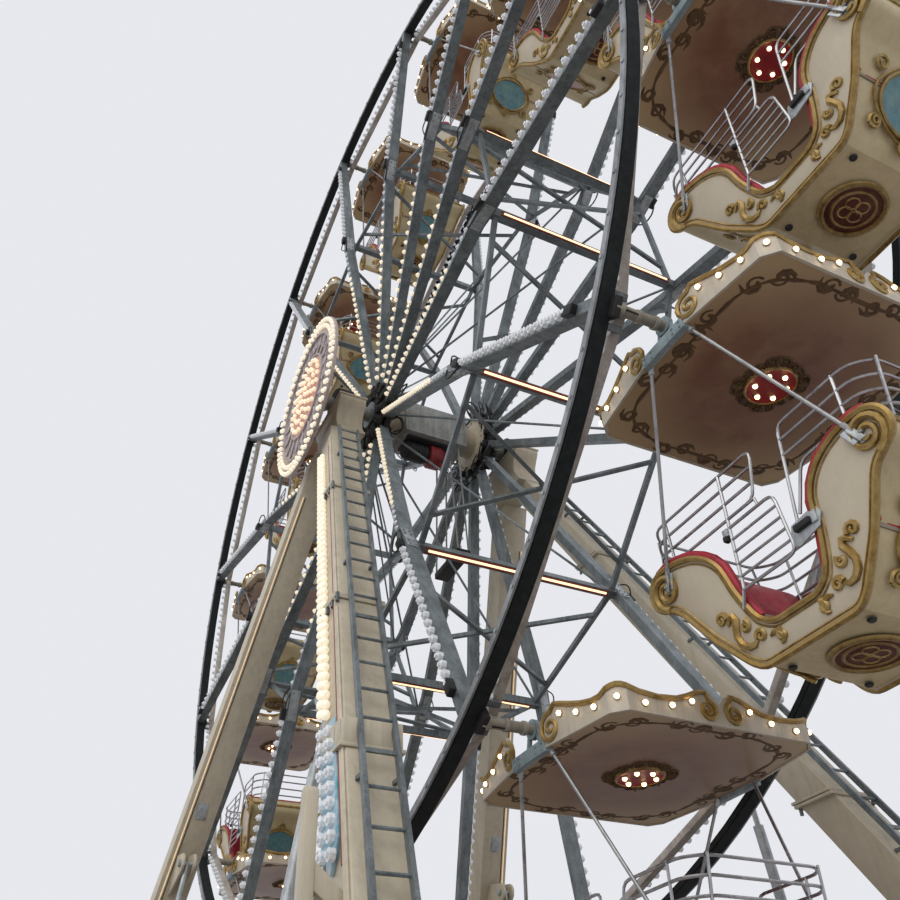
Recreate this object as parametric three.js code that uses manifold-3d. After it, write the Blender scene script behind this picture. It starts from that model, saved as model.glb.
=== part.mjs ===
// Fairground ferris wheel with fourteen open gondolas, in millimetres.
// The wheel turns about Y, the front looks to -Y, and Z is up.
// The origin lies on the ground under the middle of the wheel.

import * as THREE from 'three';
import { mergeVertices } from 'three/addons/utils/BufferGeometryUtils.js';
import Module from 'manifold-3d';

const wasm = await Module();
wasm.setup();

// Driving dimensions of the wheel
const GONDOLAS = 14;
const BAY = (2 * Math.PI) / GONDOLAS;
const FIRST_STATION = THREE.MathUtils.degToRad(68.56);
const AXLE_HEIGHT = 10800;
const RIM_RADIUS = 7400;
const SEAT_GAP = 0.3;
const PIN_GAP = 0.5;

// Rims: a box section ring at the front and one at the rear
const RIM_FACETS = 42;
const RIM_DEPTH = 120;
const RIM_INNER_Y = 1400;
const RIM_OUTER_Y = 1554;
const STUB_RADIUS = 45;
const STUB_SIDES = 6;
const STUB_ROOT = 40;

// Spokes: box sections that spread from the hub to the rim, with a joint half-way
const SPOKE_WIDTH = 100;
const SPOKE_HALF_DEPTH = 65;
const SPOKE_START = { radius: 300, y: 845 };
const SPOKE_JOINT = { radius: 4344, y: 1354 };
const SPOKE_END_Y = 1520;
const KNUCKLE = { inner: 4250, outer: 4500, halfDepth: 84 };

// Hubs that run on the fixed axle
const AXLE_RADIUS = 110;
const AXLE_SIDES = 16;
const HUB_RADIUS = 540;
const HUB_BOSS_RADIUS = 210;
const HUB_DISC_Y = [822, 880];
const HUB_BOSS_Y = [780, 1010];
const BORE_OVERRUN = 100;

// Bracing between the two spoke rings
const STRUT_RADIUS = 4440;
const STRUT_WIDTH = 95;
const RING_BAR_Y = 1225;
const RING_BAR_WIDTH = 56;
const DIAGONAL_WIDTH = 46;
const DIAGONAL_SETBACK = 360;

// Straight light strips between the stations, inside each rim
const STRIP_CORNER_RADIUS = 7335;
const STRIP_DEPTH = 65;
const STRIP_HEIGHT = 80;
const STRIP_OUTER_Y = 1449;

// Four raking legs and their heads
const LEG_SPREAD = 0.563;
const LEG_LEAN = 0.14;
const LEG_APEX_Z = 10470;
const LEG_HEAD_Y = 1480;
const LEG_WIDTH_X = 413;
const LEG_WIDTH_Y = 400;
const HEAD = { halfX: 528, y: [1250, 1650], z: [9900, 10590] };
const BEARING = { halfX: 260, y: [1320, 1580], z: [10590.3, 11020] };
const PROP = { top: 4900, radius: 60, footX: 2300, lugX: 2540, footRise: 150, sides: 8 };
const LUG = { half: 90, intoLeg: 60, below: 60, above: 160 };
const SHOE = { half: 110, height: 200 };
const UPRIGHT = { y: 2880, widthX: 150, widthY: 170, z: [2300, 3540], armZ: [2650, 3000] };

// Fixed axle with its box girder, drive unit and hanging tray
const GIRDER = { halfY: 500, halfWidth: 280, z: [10480, 11060] };
const COLLAR = { radius: 230, y: [490, 765], sides: 20 };
const SHAFT_END_Y = 1700;
const DRIVE_UNIT = { x: [-190, 200], y: [-360, 330], z: [10130, 10500] };
const TRAY = { halfX: 620, halfY: 420, z: [8380, 8520] };
const TRAY_HANGER = { x: 560, y: 380, width: 36, root: 25 };

// Round sign at the front of the axle
const SIGN = { radius: 1330, y: [1931, 1991], sides: 36 };
const SIGN_TUBE = { radius: 150, root: 20, sides: 8 };

// Base frame on the ground
const BASE = { top: 320, beamLow: 60, beamWidth: 300, halfX: 6350, padHalf: 300, padTop: 80 };
const FOOT_Z = BASE.top + SEAT_GAP;

// Ladders on the outer faces of the two right legs
const LADDER = {
  z: [620, 9700],
  halfWidth: 130,
  offset: 120,
  stile: [55, 32],
  rung: 28,
  firstRung: 900,
  rungStep: 1500,
  standOffs: [1100, 3700, 6300, 8900],
  standOffInset: 2,
};

// Gondola canopy, measured from the pivot
const CANOPY = {
  bracketX: 245,
  bracketY: 1000,
  cornerX: 960,
  cornerY: 873,
  sideX: 1090,
  sideY: 740,
  ceiling: -260,
  bracketTop: -190,
  slabTop: -222,
  apex: -70,
  skin: 30,
};
const HANGER = { halfX: 75, y: [955, 985], z: [-250, 70] };
const ROD = { radius: 15, sides: 4, topX: 230, topY: 980, topZ: -246, footX: 905, footZ: -1700 };

// Gondola tub, measured from the pivot
const TUB = {
  floorWidth: 480,
  floorZ: -2530,
  flare: 160 / 830,
  wall: 45,
};
const RAIL = { width: 24, y: 615, postY: [585, 609], endX: 1100, topZ: -1182, rightX: 361, leftX: -250 };
const END_POST = { x: [1080, 1096], z: [-1700, -1172] };

// Colours
const CREAM = new THREE.MeshStandardMaterial({ color: 0xcdc2a2, roughness: 0.45, metalness: 0.0 });
const GALVANISED = new THREE.MeshStandardMaterial({ color: 0x8b9196, roughness: 0.5, metalness: 0.8 });
const LIGHT_STRIP = new THREE.MeshStandardMaterial({ color: 0xb9babb, roughness: 0.4, metalness: 0.5 });
const SIGN_PAINT = new THREE.MeshStandardMaterial({ color: 0xe4d9c4, roughness: 0.5, metalness: 0.0 });
const CANOPY_PAINT = new THREE.MeshStandardMaterial({ color: 0xb89c86, roughness: 0.5, metalness: 0.0 });
const TUB_PAINT = new THREE.MeshStandardMaterial({ color: 0xd3c69b, roughness: 0.35, metalness: 0.0 });

const vector = (x, y, z) => new THREE.Vector3(x, y, z);

// A closed geometry as a solid that can be joined and cut
function solidOf(geometry) {
  const bare = geometry.clone();
  bare.deleteAttribute('normal');
  bare.deleteAttribute('uv');
  const merged = mergeVertices(bare, 0.001);
  return new wasm.Manifold(
    new wasm.Mesh({
      numProp: 3,
      vertProperties: new Float32Array(merged.attributes.position.array),
      triVerts: new Uint32Array(merged.index.array),
    }),
  );
}

function geometryOf(solid) {
  const mesh = solid.getMesh();
  const geometry = new THREE.BufferGeometry();
  geometry.setAttribute('position', new THREE.BufferAttribute(mesh.vertProperties, 3));
  geometry.setIndex(new THREE.BufferAttribute(mesh.triVerts, 1));
  geometry.computeVertexNormals();
  return geometry;
}

const fuse = (geometries) => geometries.map(solidOf).reduce((whole, next) => whole.add(next));

// A box between two limits on each axis
function block([x0, x1], [y0, y1], [z0, z1]) {
  const geometry = new THREE.BoxGeometry(x1 - x0, Math.abs(y1 - y0), z1 - z0);
  return geometry.translate((x0 + x1) / 2, (y0 + y1) / 2, (z0 + z1) / 2);
}

// A box section from start to end, its width lying along the direction "side"
function beam(start, end, width, depth, side) {
  const along = end.clone().sub(start);
  const length = along.length();
  along.normalize();
  const across = along.clone().cross(side).normalize();
  const wide = across.clone().cross(along);
  const place = new THREE.Matrix4().makeBasis(wide, across, along);
  place.setPosition(start.clone().add(end).multiplyScalar(0.5));
  return new THREE.BoxGeometry(width, depth, length).applyMatrix4(place);
}

// A round bar from start to end
function roundBar(start, end, radius, sides) {
  const along = end.clone().sub(start);
  const geometry = new THREE.CylinderGeometry(radius, radius, along.length(), sides);
  const turn = new THREE.Quaternion().setFromUnitVectors(vector(0, 1, 0), along.normalize());
  geometry.applyQuaternion(turn);
  const middle = start.clone().add(end).multiplyScalar(0.5);
  return geometry.translate(middle.x, middle.y, middle.z);
}

function shapeOf(points) {
  return new THREE.Shape(points.map(([u, v]) => new THREE.Vector2(u, v)));
}

// A plan outline in X and Y, raised from zLow to zHigh
function prismZ(shape, zLow, zHigh) {
  const settings = { depth: zHigh - zLow, bevelEnabled: false, curveSegments: 6 };
  return new THREE.ExtrudeGeometry(shape, settings).translate(0, 0, zLow);
}

// A side outline in X and Z, running from yLow to yHigh
function prismY(shape, yLow, yHigh) {
  const settings = { depth: yHigh - yLow, bevelEnabled: false, curveSegments: 6 };
  return new THREE.ExtrudeGeometry(shape, settings).rotateX(Math.PI / 2).translate(0, yHigh, 0);
}

// A ring about the wheel's axis, with a flat facet or a corner at each station
function ringAboutAxis(innerRadius, outerRadius, yLow, yHigh, facets, startAngle) {
  const profile = [
    new THREE.Vector2(innerRadius, yLow),
    new THREE.Vector2(outerRadius, yLow),
    new THREE.Vector2(outerRadius, yHigh),
    new THREE.Vector2(innerRadius, yHigh),
    new THREE.Vector2(innerRadius, yLow),
  ];
  return new THREE.LatheGeometry(profile, facets, startAngle, 2 * Math.PI);
}

// A shaft along Y through the point (x, z)
function shaftY(radius, yLow, yHigh, sides, x, z, turn = 0) {
  const geometry = new THREE.CylinderGeometry(radius, radius, yHigh - yLow, sides).rotateY(turn);
  return geometry.translate(x, (yLow + yHigh) / 2, z);
}

// The distances from the axle of a front (-1) or rear (+1) piece, low value first
const facing = (side, [near, far]) => (side < 0 ? [-far, -near] : [near, far]);

const stationAngle = (index) => FIRST_STATION + index * BAY;

// Geometry made with its radius along +X, turned to a station of the wheel
const toStation = (geometry, index) => geometry.rotateY(-stationAngle(index));

const stations = Array.from({ length: GONDOLAS }, (_, index) => index);

const wheelStart = Math.PI / 2 - FIRST_STATION;

const group = new THREE.Group();

function addMesh(name, solid, material, x = 0, y = 0, z = 0) {
  const mesh = new THREE.Mesh(geometryOf(solid), material);
  mesh.name = name;
  mesh.position.set(x, y, z);
  group.add(mesh);
}

// Rim of one side, with the stub axles that carry the gondolas
function makeRim(side) {
  const halfFacet = Math.PI / RIM_FACETS;
  const inner = (RIM_RADIUS - RIM_DEPTH / 2) / Math.cos(halfFacet);
  const outer = (RIM_RADIUS + RIM_DEPTH / 2) / Math.cos(halfFacet);
  const [low, high] = facing(side, [RIM_INNER_Y, RIM_OUTER_Y]);
  const ring = ringAboutAxis(inner, outer, low, high, RIM_FACETS, wheelStart - halfFacet);
  const [stubLow, stubHigh] = facing(side, [HANGER.y[1] + SEAT_GAP, RIM_INNER_Y + STUB_ROOT]);
  const stubs = stations.map((index) => {
    const angle = stationAngle(index);
    const x = RIM_RADIUS * Math.cos(angle);
    const z = RIM_RADIUS * Math.sin(angle);
    return shaftY(STUB_RADIUS, stubLow, stubHigh, STUB_SIDES, x, z);
  });
  return fuse([ring, ...stubs]);
}

// One spoke with the knuckle at its joint, in radius and distance from the middle plane
function spokeGeometry(side) {
  const rimFace = RIM_RADIUS - RIM_DEPTH / 2 - SEAT_GAP;
  const edge = (offset) => {
    const bulge = Math.sign(offset) * KNUCKLE.halfDepth;
    return [
      [SPOKE_START.radius, SPOKE_START.y + offset],
      [KNUCKLE.inner, SPOKE_JOINT.y + bulge],
      [KNUCKLE.outer, SPOKE_JOINT.y + bulge],
      [rimFace, SPOKE_END_Y + offset],
    ];
  };
  const outline = [...edge(-SPOKE_HALF_DEPTH), ...edge(SPOKE_HALF_DEPTH).reverse()];
  const shape = shapeOf(outline.map(([radius, y]) => [radius, side * y]));
  return prismZ(shape, -SPOKE_WIDTH / 2, SPOKE_WIDTH / 2);
}

// Hub and the fourteen spokes of one side
function makeSpokes(side) {
  const boreRadius = (AXLE_RADIUS + PIN_GAP) / Math.cos(Math.PI / AXLE_SIDES);
  const halfFacet = Math.PI / AXLE_SIDES;
  const [discLow, discHigh] = facing(side, HUB_DISC_Y);
  const [bossLow, bossHigh] = facing(side, HUB_BOSS_Y);
  const disc = shaftY(HUB_RADIUS, discLow, discHigh, GONDOLAS, 0, 0, FIRST_STATION);
  const boss = shaftY(HUB_BOSS_RADIUS, bossLow, bossHigh, GONDOLAS, 0, 0);
  const pieces = [disc, boss];
  for (const index of stations) pieces.push(toStation(spokeGeometry(side), index));
  const [boreLow, boreHigh] = [bossLow - BORE_OVERRUN, bossHigh + BORE_OVERRUN];
  const bore = shaftY(boreRadius, boreLow, boreHigh, AXLE_SIDES, 0, 0, halfFacet);
  return fuse(pieces).subtract(solidOf(bore));
}

// A point at a station, moved along the chord towards the next station
function nodePoint(index, y, setback) {
  const angle = stationAngle(index);
  const here = vector(Math.cos(angle), 0, Math.sin(angle)).multiplyScalar(STRUT_RADIUS);
  if (setback === 0) return here.setY(y);
  const nextAngle = stationAngle(index + Math.sign(setback));
  const next = vector(Math.cos(nextAngle), 0, Math.sin(nextAngle)).multiplyScalar(STRUT_RADIUS);
  const along = next.sub(here).normalize();
  return here.addScaledVector(along, Math.abs(setback)).setY(y);
}

// Cross struts, the two ring polygons and a pair of crossed diagonals in each bay
function makeBracing() {
  const strutEnd = SPOKE_JOINT.y - KNUCKLE.halfDepth - SEAT_GAP;
  const halfBar = RING_BAR_WIDTH / 2;
  const pieces = [-1, 1].map((side) => {
    const [low, high] = facing(side, [RING_BAR_Y - halfBar, RING_BAR_Y + halfBar]);
    const inner = STRUT_RADIUS - halfBar;
    return ringAboutAxis(inner, STRUT_RADIUS + halfBar, low, high, GONDOLAS, wheelStart);
  });
  for (const index of stations) {
    const angle = stationAngle(index);
    const radial = vector(Math.cos(angle), 0, Math.sin(angle));
    const front = nodePoint(index, -strutEnd, 0);
    const rear = nodePoint(index, strutEnd, 0);
    pieces.push(beam(front, rear, STRUT_WIDTH, STRUT_WIDTH, radial));
    for (const side of [-1, 1]) {
      const low = nodePoint(index, side * RING_BAR_Y, DIAGONAL_SETBACK);
      const high = nodePoint(index + 1, -side * RING_BAR_Y, -DIAGONAL_SETBACK);
      pieces.push(beam(low, high, DIAGONAL_WIDTH, DIAGONAL_WIDTH, radial));
    }
  }
  return fuse(pieces);
}

// Fourteen-sided ring of straight light strips
function makeLightStrips(side) {
  const [low, high] = facing(side, [STRIP_OUTER_Y - STRIP_HEIGHT, STRIP_OUTER_Y]);
  const inner = STRIP_CORNER_RADIUS - STRIP_DEPTH;
  return solidOf(ringAboutAxis(inner, STRIP_CORNER_RADIUS, low, high, GONDOLAS, wheelStart));
}

for (const [name, side] of [['front', -1], ['rear', 1]]) {
  addMesh(`${name}_rim`, makeRim(side), GALVANISED, 0, 0, AXLE_HEIGHT);
  addMesh(`${name}_spokes`, makeSpokes(side), GALVANISED, 0, 0, AXLE_HEIGHT);
  addMesh(`${name}_light_strips`, makeLightStrips(side), LIGHT_STRIP, 0, 0, AXLE_HEIGHT);
}
addMesh('middle_bracing', makeBracing(), GALVANISED, 0, 0, AXLE_HEIGHT);

// A leg's centre line at a height: its distance from the middle in X and in Y
const legX = (z) => LEG_SPREAD * (LEG_APEX_Z - z);
const legY = (z) => LEG_HEAD_Y + LEG_LEAN * (LEG_APEX_Z - z);

// A leg is a box section cut level at the foot and under the head
function legGeometry(sideX, sideY) {
  const top = HEAD.z[0] - SEAT_GAP;
  const geometry = block(
    [-LEG_WIDTH_X / 2, LEG_WIDTH_X / 2],
    [-LEG_WIDTH_Y / 2, LEG_WIDTH_Y / 2],
    [FOOT_Z, top],
  );
  const rake = new THREE.Matrix4().set(
    1, 0, -sideX * LEG_SPREAD, sideX * legX(0),
    0, 1, -sideY * LEG_LEAN, sideY * legY(0),
    0, 0, 1, 0,
    0, 0, 0, 1,
  );
  return geometry.applyMatrix4(rake);
}

// The prop under a leg, from a lug on its inner face to the base frame
function propGeometries(sideX, sideY) {
  const lugY = sideY * legY(PROP.top);
  const inner = legX(PROP.top) - LEG_WIDTH_X / 2 + LUG.intoLeg;
  const lugX = [PROP.lugX - LUG.half, inner].map((x) => sideX * x).sort((a, b) => a - b);
  const lugHeight = [PROP.top - LUG.below, PROP.top + LUG.above];
  const lug = block(lugX, [lugY - LUG.half, lugY + LUG.half], lugHeight);
  const head = vector(sideX * PROP.lugX, lugY, PROP.top);
  const foot = vector(sideX * PROP.footX, sideY * legY(FOOT_Z), FOOT_Z + PROP.footRise);
  const rod = roundBar(head, foot, PROP.radius, PROP.sides);
  const shoeY = sideY * legY(FOOT_Z);
  const shoeX = sideX * PROP.footX;
  const shoe = block(
    [shoeX - SHOE.half, shoeX + SHOE.half],
    [shoeY - SHOE.half, shoeY + SHOE.half],
    [FOOT_Z, FOOT_Z + SHOE.height],
  );
  return [lug, rod, shoe];
}

// The upright that stands on an arm in front of each front leg
function uprightGeometries(sideX) {
  const x = sideX * legX((UPRIGHT.armZ[0] + UPRIGHT.armZ[1]) / 2);
  const halfX = UPRIGHT.widthX / 2;
  const post = block(
    [x - halfX, x + halfX],
    [-UPRIGHT.y - UPRIGHT.widthY / 2, -UPRIGHT.y + UPRIGHT.widthY / 2],
    UPRIGHT.z,
  );
  const arm = block([x - halfX, x + halfX], [-UPRIGHT.y, -legY(UPRIGHT.armZ[1])], UPRIGHT.armZ);
  return [post, arm];
}

for (const [endName, sideY] of [['front', -1], ['rear', 1]]) {
  for (const [handName, sideX] of [['left', -1], ['right', 1]]) {
    const pieces = [legGeometry(sideX, sideY), ...propGeometries(sideX, sideY)];
    if (sideY < 0) pieces.push(...uprightGeometries(sideX));
    addMesh(`${endName}_${handName}_leg`, fuse(pieces), CREAM);
  }
  const head = block([-HEAD.halfX, HEAD.halfX], facing(sideY, HEAD.y), HEAD.z);
  addMesh(`${endName}_leg_head`, solidOf(head), CREAM);
}

// Fixed axle: box girder, collars, shaft, bearing blocks, drive unit and tray
function makeAxle() {
  const pieces = [
    block([-GIRDER.halfWidth, GIRDER.halfWidth], [-GIRDER.halfY, GIRDER.halfY], GIRDER.z),
    shaftY(AXLE_RADIUS, -SHAFT_END_Y, SHAFT_END_Y, AXLE_SIDES, 0, AXLE_HEIGHT),
    block(DRIVE_UNIT.x, DRIVE_UNIT.y, DRIVE_UNIT.z),
    block([-TRAY.halfX, TRAY.halfX], [-TRAY.halfY, TRAY.halfY], TRAY.z),
  ];
  for (const side of [-1, 1]) {
    const [collarLow, collarHigh] = facing(side, COLLAR.y);
    pieces.push(shaftY(COLLAR.radius, collarLow, collarHigh, COLLAR.sides, 0, AXLE_HEIGHT));
    pieces.push(block([-BEARING.halfX, BEARING.halfX], facing(side, BEARING.y), BEARING.z));
    for (const sideX of [-1, 1]) {
      const { x, y, width, root } = TRAY_HANGER;
      const low = vector(sideX * x, side * y, TRAY.z[1] - root);
      const high = vector(sideX * (GIRDER.halfWidth - root), side * y, GIRDER.z[0] + root);
      pieces.push(beam(low, high, width, width, vector(0, 1, 0)));
    }
  }
  return fuse(pieces);
}
addMesh('axle', makeAxle(), GALVANISED);

const signDisc = shaftY(SIGN.radius, -SIGN.y[1], -SIGN.y[0], SIGN.sides, 0, AXLE_HEIGHT);
const signTube = shaftY(
  SIGN_TUBE.radius,
  -SIGN.y[1] + SIGN_TUBE.root,
  -SHAFT_END_Y - SEAT_GAP,
  SIGN_TUBE.sides,
  0,
  AXLE_HEIGHT,
);
addMesh('sign_disc', fuse([signDisc, signTube]), SIGN_PAINT);

// Ladder up the outer face of a right leg
function makeLadder(sideY) {
  const outer = (z) => legX(z) + LEG_WIDTH_X / 2;
  const at = (z, across) => vector(outer(z) + LADDER.offset, sideY * legY(z) + across, z);
  const acrossY = vector(0, 1, 0);
  const pieces = [];
  for (const across of [-LADDER.halfWidth, LADDER.halfWidth]) {
    const low = at(LADDER.z[0], across);
    const high = at(LADDER.z[1], across);
    pieces.push(beam(low, high, LADDER.stile[1], LADDER.stile[0], acrossY));
    for (const z of LADDER.standOffs) {
      const start = outer(z - LADDER.rung / 2) + SEAT_GAP;
      const middle = sideY * legY(z) + across;
      const halfY = LADDER.stile[1] / 2 - LADDER.standOffInset;
      const halfZ = LADDER.rung / 2;
      const reach = [start, outer(z) + LADDER.offset];
      pieces.push(block(reach, [middle - halfY, middle + halfY], [z - halfZ, z + halfZ]));
    }
  }
  for (let z = LADDER.firstRung; z < LADDER.z[1]; z += LADDER.rungStep) {
    const start = at(z, -LADDER.halfWidth);
    const end = at(z, LADDER.halfWidth);
    pieces.push(beam(start, end, LADDER.rung, LADDER.rung, vector(1, 0, 0)));
  }
  return fuse(pieces);
}
addMesh('front_ladder', makeLadder(-1), GALVANISED);
addMesh('rear_ladder', makeLadder(1), GALVANISED);

// Base frame: two beams under the feet, three cross beams and levelling pads
function makeBase() {
  const beamY = legY(0);
  const half = BASE.beamWidth / 2;
  const height = [BASE.beamLow, BASE.top];
  const pieces = [];
  for (const side of [-1, 1]) {
    pieces.push(block([-BASE.halfX, BASE.halfX], [side * beamY - half, side * beamY + half], height));
  }
  for (const x of [-legX(0), 0, legX(0)]) {
    pieces.push(block([x - half, x + half], [-beamY, beamY], height));
    for (const side of [-1, 1]) {
      const padX = [x - BASE.padHalf, x + BASE.padHalf];
      const padY = [side * beamY - BASE.padHalf, side * beamY + BASE.padHalf];
      pieces.push(block(padX, padY, [0, BASE.padTop]));
    }
  }
  return fuse(pieces);
}
addMesh('base_frame', makeBase(), CREAM);

// Crest heights of the fascia against the share of each board's length
const BRACKET_CREST = [[0, CANOPY.bracketTop], [0.12, -50]];
const CORNER_CREST = [[0, -45]];
const SIDE_CREST = [[0, -45], [0.42, 40], [0.58, 40]];

// One quarter of the canopy's edge as [x, y, crest], from the bracket to the middle of the side
function quarterEdge() {
  const bracket = [CANOPY.bracketX, CANOPY.bracketY];
  const corner = [CANOPY.cornerX, CANOPY.cornerY];
  const side = [CANOPY.sideX, CANOPY.sideY];
  const sideFar = [CANOPY.sideX, -CANOPY.sideY];
  const boards = [
    [bracket, corner, BRACKET_CREST],
    [corner, side, CORNER_CREST],
    [side, sideFar, SIDE_CREST],
  ];
  const points = [];
  for (const [from, to, crest] of boards) {
    for (const [share, height] of crest) {
      const x = from[0] + share * (to[0] - from[0]);
      const y = from[1] + share * (to[1] - from[1]);
      if (y > 0) points.push([x, y, height]);
    }
  }
  return points;
}

// The canopy as one shell: ceiling, fascia with its crest, and a low roof behind it
function canopyShell() {
  const quarter = quarterEdge();
  const right = [...quarter, ...quarter.map(([x, y, crest]) => [x, -y, crest]).reverse()];
  const edge = [...right, ...right.map(([x, y, crest]) => [-x, y, crest]).reverse()];
  const count = edge.length;
  const inset = 1 - CANOPY.skin / CANOPY.bracketY;
  const positions = [];
  for (const [x, y, crest] of edge) {
    positions.push(x, y, CANOPY.ceiling, x, y, crest);
    positions.push(x * inset, y * inset, crest, x * inset, y * inset, CANOPY.slabTop);
  }
  positions.push(0, 0, CANOPY.ceiling, 0, 0, CANOPY.apex);
  const ceilingMiddle = 4 * count;
  const faces = [];
  for (let here = 0; here < count; here += 1) {
    const [low, high, innerHigh, innerLow] = [0, 1, 2, 3].map((level) => 4 * here + level);
    const [nextLow, nextHigh, nextInnerHigh, nextInnerLow] = [0, 1, 2, 3].map(
      (level) => 4 * ((here + 1) % count) + level,
    );
    faces.push(low, high, nextLow, high, nextHigh, nextLow);
    faces.push(high, innerHigh, nextHigh, innerHigh, nextInnerHigh, nextHigh);
    faces.push(innerHigh, innerLow, nextInnerHigh, innerLow, nextInnerLow, nextInnerHigh);
    faces.push(low, nextLow, ceilingMiddle, innerLow, ceilingMiddle + 1, nextInnerLow);
  }
  const geometry = new THREE.BufferGeometry();
  geometry.setAttribute('position', new THREE.Float32BufferAttribute(positions, 3));
  geometry.setIndex(faces);
  return geometry;
}

// The canopy with its hanger plates and four rods
function makeCanopy() {
  const pieces = [canopyShell()];
  for (const side of [-1, 1]) {
    pieces.push(block([-HANGER.halfX, HANGER.halfX], facing(side, HANGER.y), HANGER.z));
    for (const sideX of [-1, 1]) {
      const start = rodStart(sideX, side);
      pieces.push(roundBar(start, rodEnd(sideX, side), ROD.radius, ROD.sides));
    }
  }
  return fuse(pieces);
}

// Half the tub's width at a height; its side panels lean outwards
const tubHalfWidth = (z) => TUB.floorWidth + (z - TUB.floorZ) * TUB.flare;

// A rod runs from the end of the canopy's bracket to the scroll at the tub's corner
const rodStart = (sideX, side) => vector(sideX * ROD.topX, side * ROD.topY, ROD.topZ);

function rodEnd(sideX, side) {
  const outside = tubHalfWidth(ROD.footZ) + ROD.radius - SEAT_GAP;
  return vector(sideX * ROD.footX, side * outside, ROD.footZ);
}

// An X and Z outline whose sides follow the leaning panels, set in by a wall
function leaningPrism(shape, wall) {
  const geometry = prismY(shape, -1, 1);
  const position = geometry.attributes.position;
  for (let vertex = 0; vertex < position.count; vertex += 1) {
    const halfWidth = tubHalfWidth(position.getZ(vertex)) - wall;
    position.setY(vertex, position.getY(vertex) * halfWidth);
  }
  return geometry;
}

// Right half of the tub's side outline, from the entry round the scroll to the floor
const TUB_OUTLINE = [
  [200, -2335], [310, -2250], [428, -1835], [545, -1690], [700, -1612], [930, -1575],
  [1075, -1630], [1120, -1750], [1070, -1840], [885, -1940], [475, -2490], [385, -2562],
];

// Right half of the hollow between the side panels: foot well, seat and backrest
const TUB_HOLLOW = [[330, -2500], [360, -2120], [700, -2120], [860, -1400]];

const mirrored = (half) => shapeOf([...half, ...half.map(([x, z]) => [-x, z]).reverse()]);

// A flat rail that runs round one end of the tub, open towards the entry
function endRail(fromX, sideX) {
  const outerX = sideX * RAIL.endX;
  const innerX = outerX - sideX * RAIL.width;
  const innerY = RAIL.y - RAIL.width;
  const outline = [
    [fromX, -RAIL.y], [outerX, -RAIL.y], [outerX, RAIL.y], [fromX, RAIL.y],
    [fromX, innerY], [innerX, innerY], [innerX, -innerY], [fromX, -innerY],
  ];
  return prismZ(shapeOf(outline), RAIL.topZ, RAIL.topZ + RAIL.width);
}

// The gate frame with the long post that carries it, in X and Z
const GATE_OUTLINE = [
  [-345, -2200], [-268, -2075], [205, -2075], [205, -1600], [-240, -1600],
  [-226, -1150], [-250, -1150], [-316, -2075], [-369, -2200],
];
const GATE_OPENING = [[-290, -2051], [181, -2051], [181, -1624], [-262, -1624]];

function gateShape() {
  const gate = shapeOf(GATE_OUTLINE);
  gate.holes.push(new THREE.Path(GATE_OPENING.map(([x, z]) => new THREE.Vector2(x, z))));
  return gate;
}

// The right-hand entry post with its latch plate on the wing, in X and Z
const LATCH_OUTLINE = [
  [265, -1980], [470, -1980], [470, -1900], [298, -1900], [385, -1165], [361, -1165],
];

// Top rails, posts, gate frames and latch plates
function railingGeometries() {
  const pieces = [endRail(RAIL.rightX, 1), endRail(RAIL.leftX, -1)];
  for (const side of [-1, 1]) {
    const [low, high] = facing(side, RAIL.postY);
    pieces.push(prismY(gateShape(), low, high));
    pieces.push(prismY(shapeOf(LATCH_OUTLINE), low, high));
    for (const sideX of [-1, 1]) {
      const postX = END_POST.x.map((x) => sideX * x).sort((a, b) => a - b);
      pieces.push(block(postX, [low, high], END_POST.z));
    }
  }
  return pieces;
}

// The tub with its hollow and railings
function makeTub() {
  const hull = solidOf(leaningPrism(mirrored(TUB_OUTLINE), 0));
  const hollow = solidOf(leaningPrism(mirrored(TUB_HOLLOW), TUB.wall));
  return hull.subtract(hollow).add(fuse(railingGeometries()));
}

const canopy = makeCanopy();
const tub = makeTub();
for (const index of stations) {
  const angle = stationAngle(index);
  const x = RIM_RADIUS * Math.cos(angle);
  const z = AXLE_HEIGHT + RIM_RADIUS * Math.sin(angle);
  const number = String(index + 1).padStart(2, '0');
  addMesh(`gondola_${number}_canopy`, canopy, CANOPY_PAINT, x, 0, z);
  addMesh(`gondola_${number}_tub`, tub, TUB_PAINT, x, 0, z);
}

export default group;
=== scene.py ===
"""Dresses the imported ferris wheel: finishes, lamps, mouldings, seats, rails and fittings."""

import logging
from contextlib import contextmanager
from dataclasses import dataclass
from enum import Enum
from math import atan2, cos, pi, radians, sin
from typing import Callable, Iterator, Optional, Sequence, Union

import bpy
from mathutils import Matrix, Vector


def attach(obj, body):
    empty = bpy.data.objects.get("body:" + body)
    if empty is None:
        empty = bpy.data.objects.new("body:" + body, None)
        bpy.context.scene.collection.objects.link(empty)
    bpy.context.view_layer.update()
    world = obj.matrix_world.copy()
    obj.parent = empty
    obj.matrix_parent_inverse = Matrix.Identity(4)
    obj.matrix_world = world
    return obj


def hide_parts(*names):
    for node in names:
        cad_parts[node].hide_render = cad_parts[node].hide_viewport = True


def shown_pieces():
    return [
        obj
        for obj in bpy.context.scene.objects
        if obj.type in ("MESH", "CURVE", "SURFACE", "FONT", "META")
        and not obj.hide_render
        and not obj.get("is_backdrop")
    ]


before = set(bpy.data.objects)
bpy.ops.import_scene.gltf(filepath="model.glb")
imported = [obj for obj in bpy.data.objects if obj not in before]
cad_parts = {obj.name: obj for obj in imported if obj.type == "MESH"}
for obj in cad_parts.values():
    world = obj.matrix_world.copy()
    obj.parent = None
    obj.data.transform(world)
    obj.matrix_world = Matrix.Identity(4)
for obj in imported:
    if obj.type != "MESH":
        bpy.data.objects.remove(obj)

LOG = logging.getLogger("wheel")
Tone = tuple[float, float, float]
Point = tuple[float, float, float]
Piece = bpy.types.Object
Socket = Union[bpy.types.NodeSocket, float, tuple]
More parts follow.
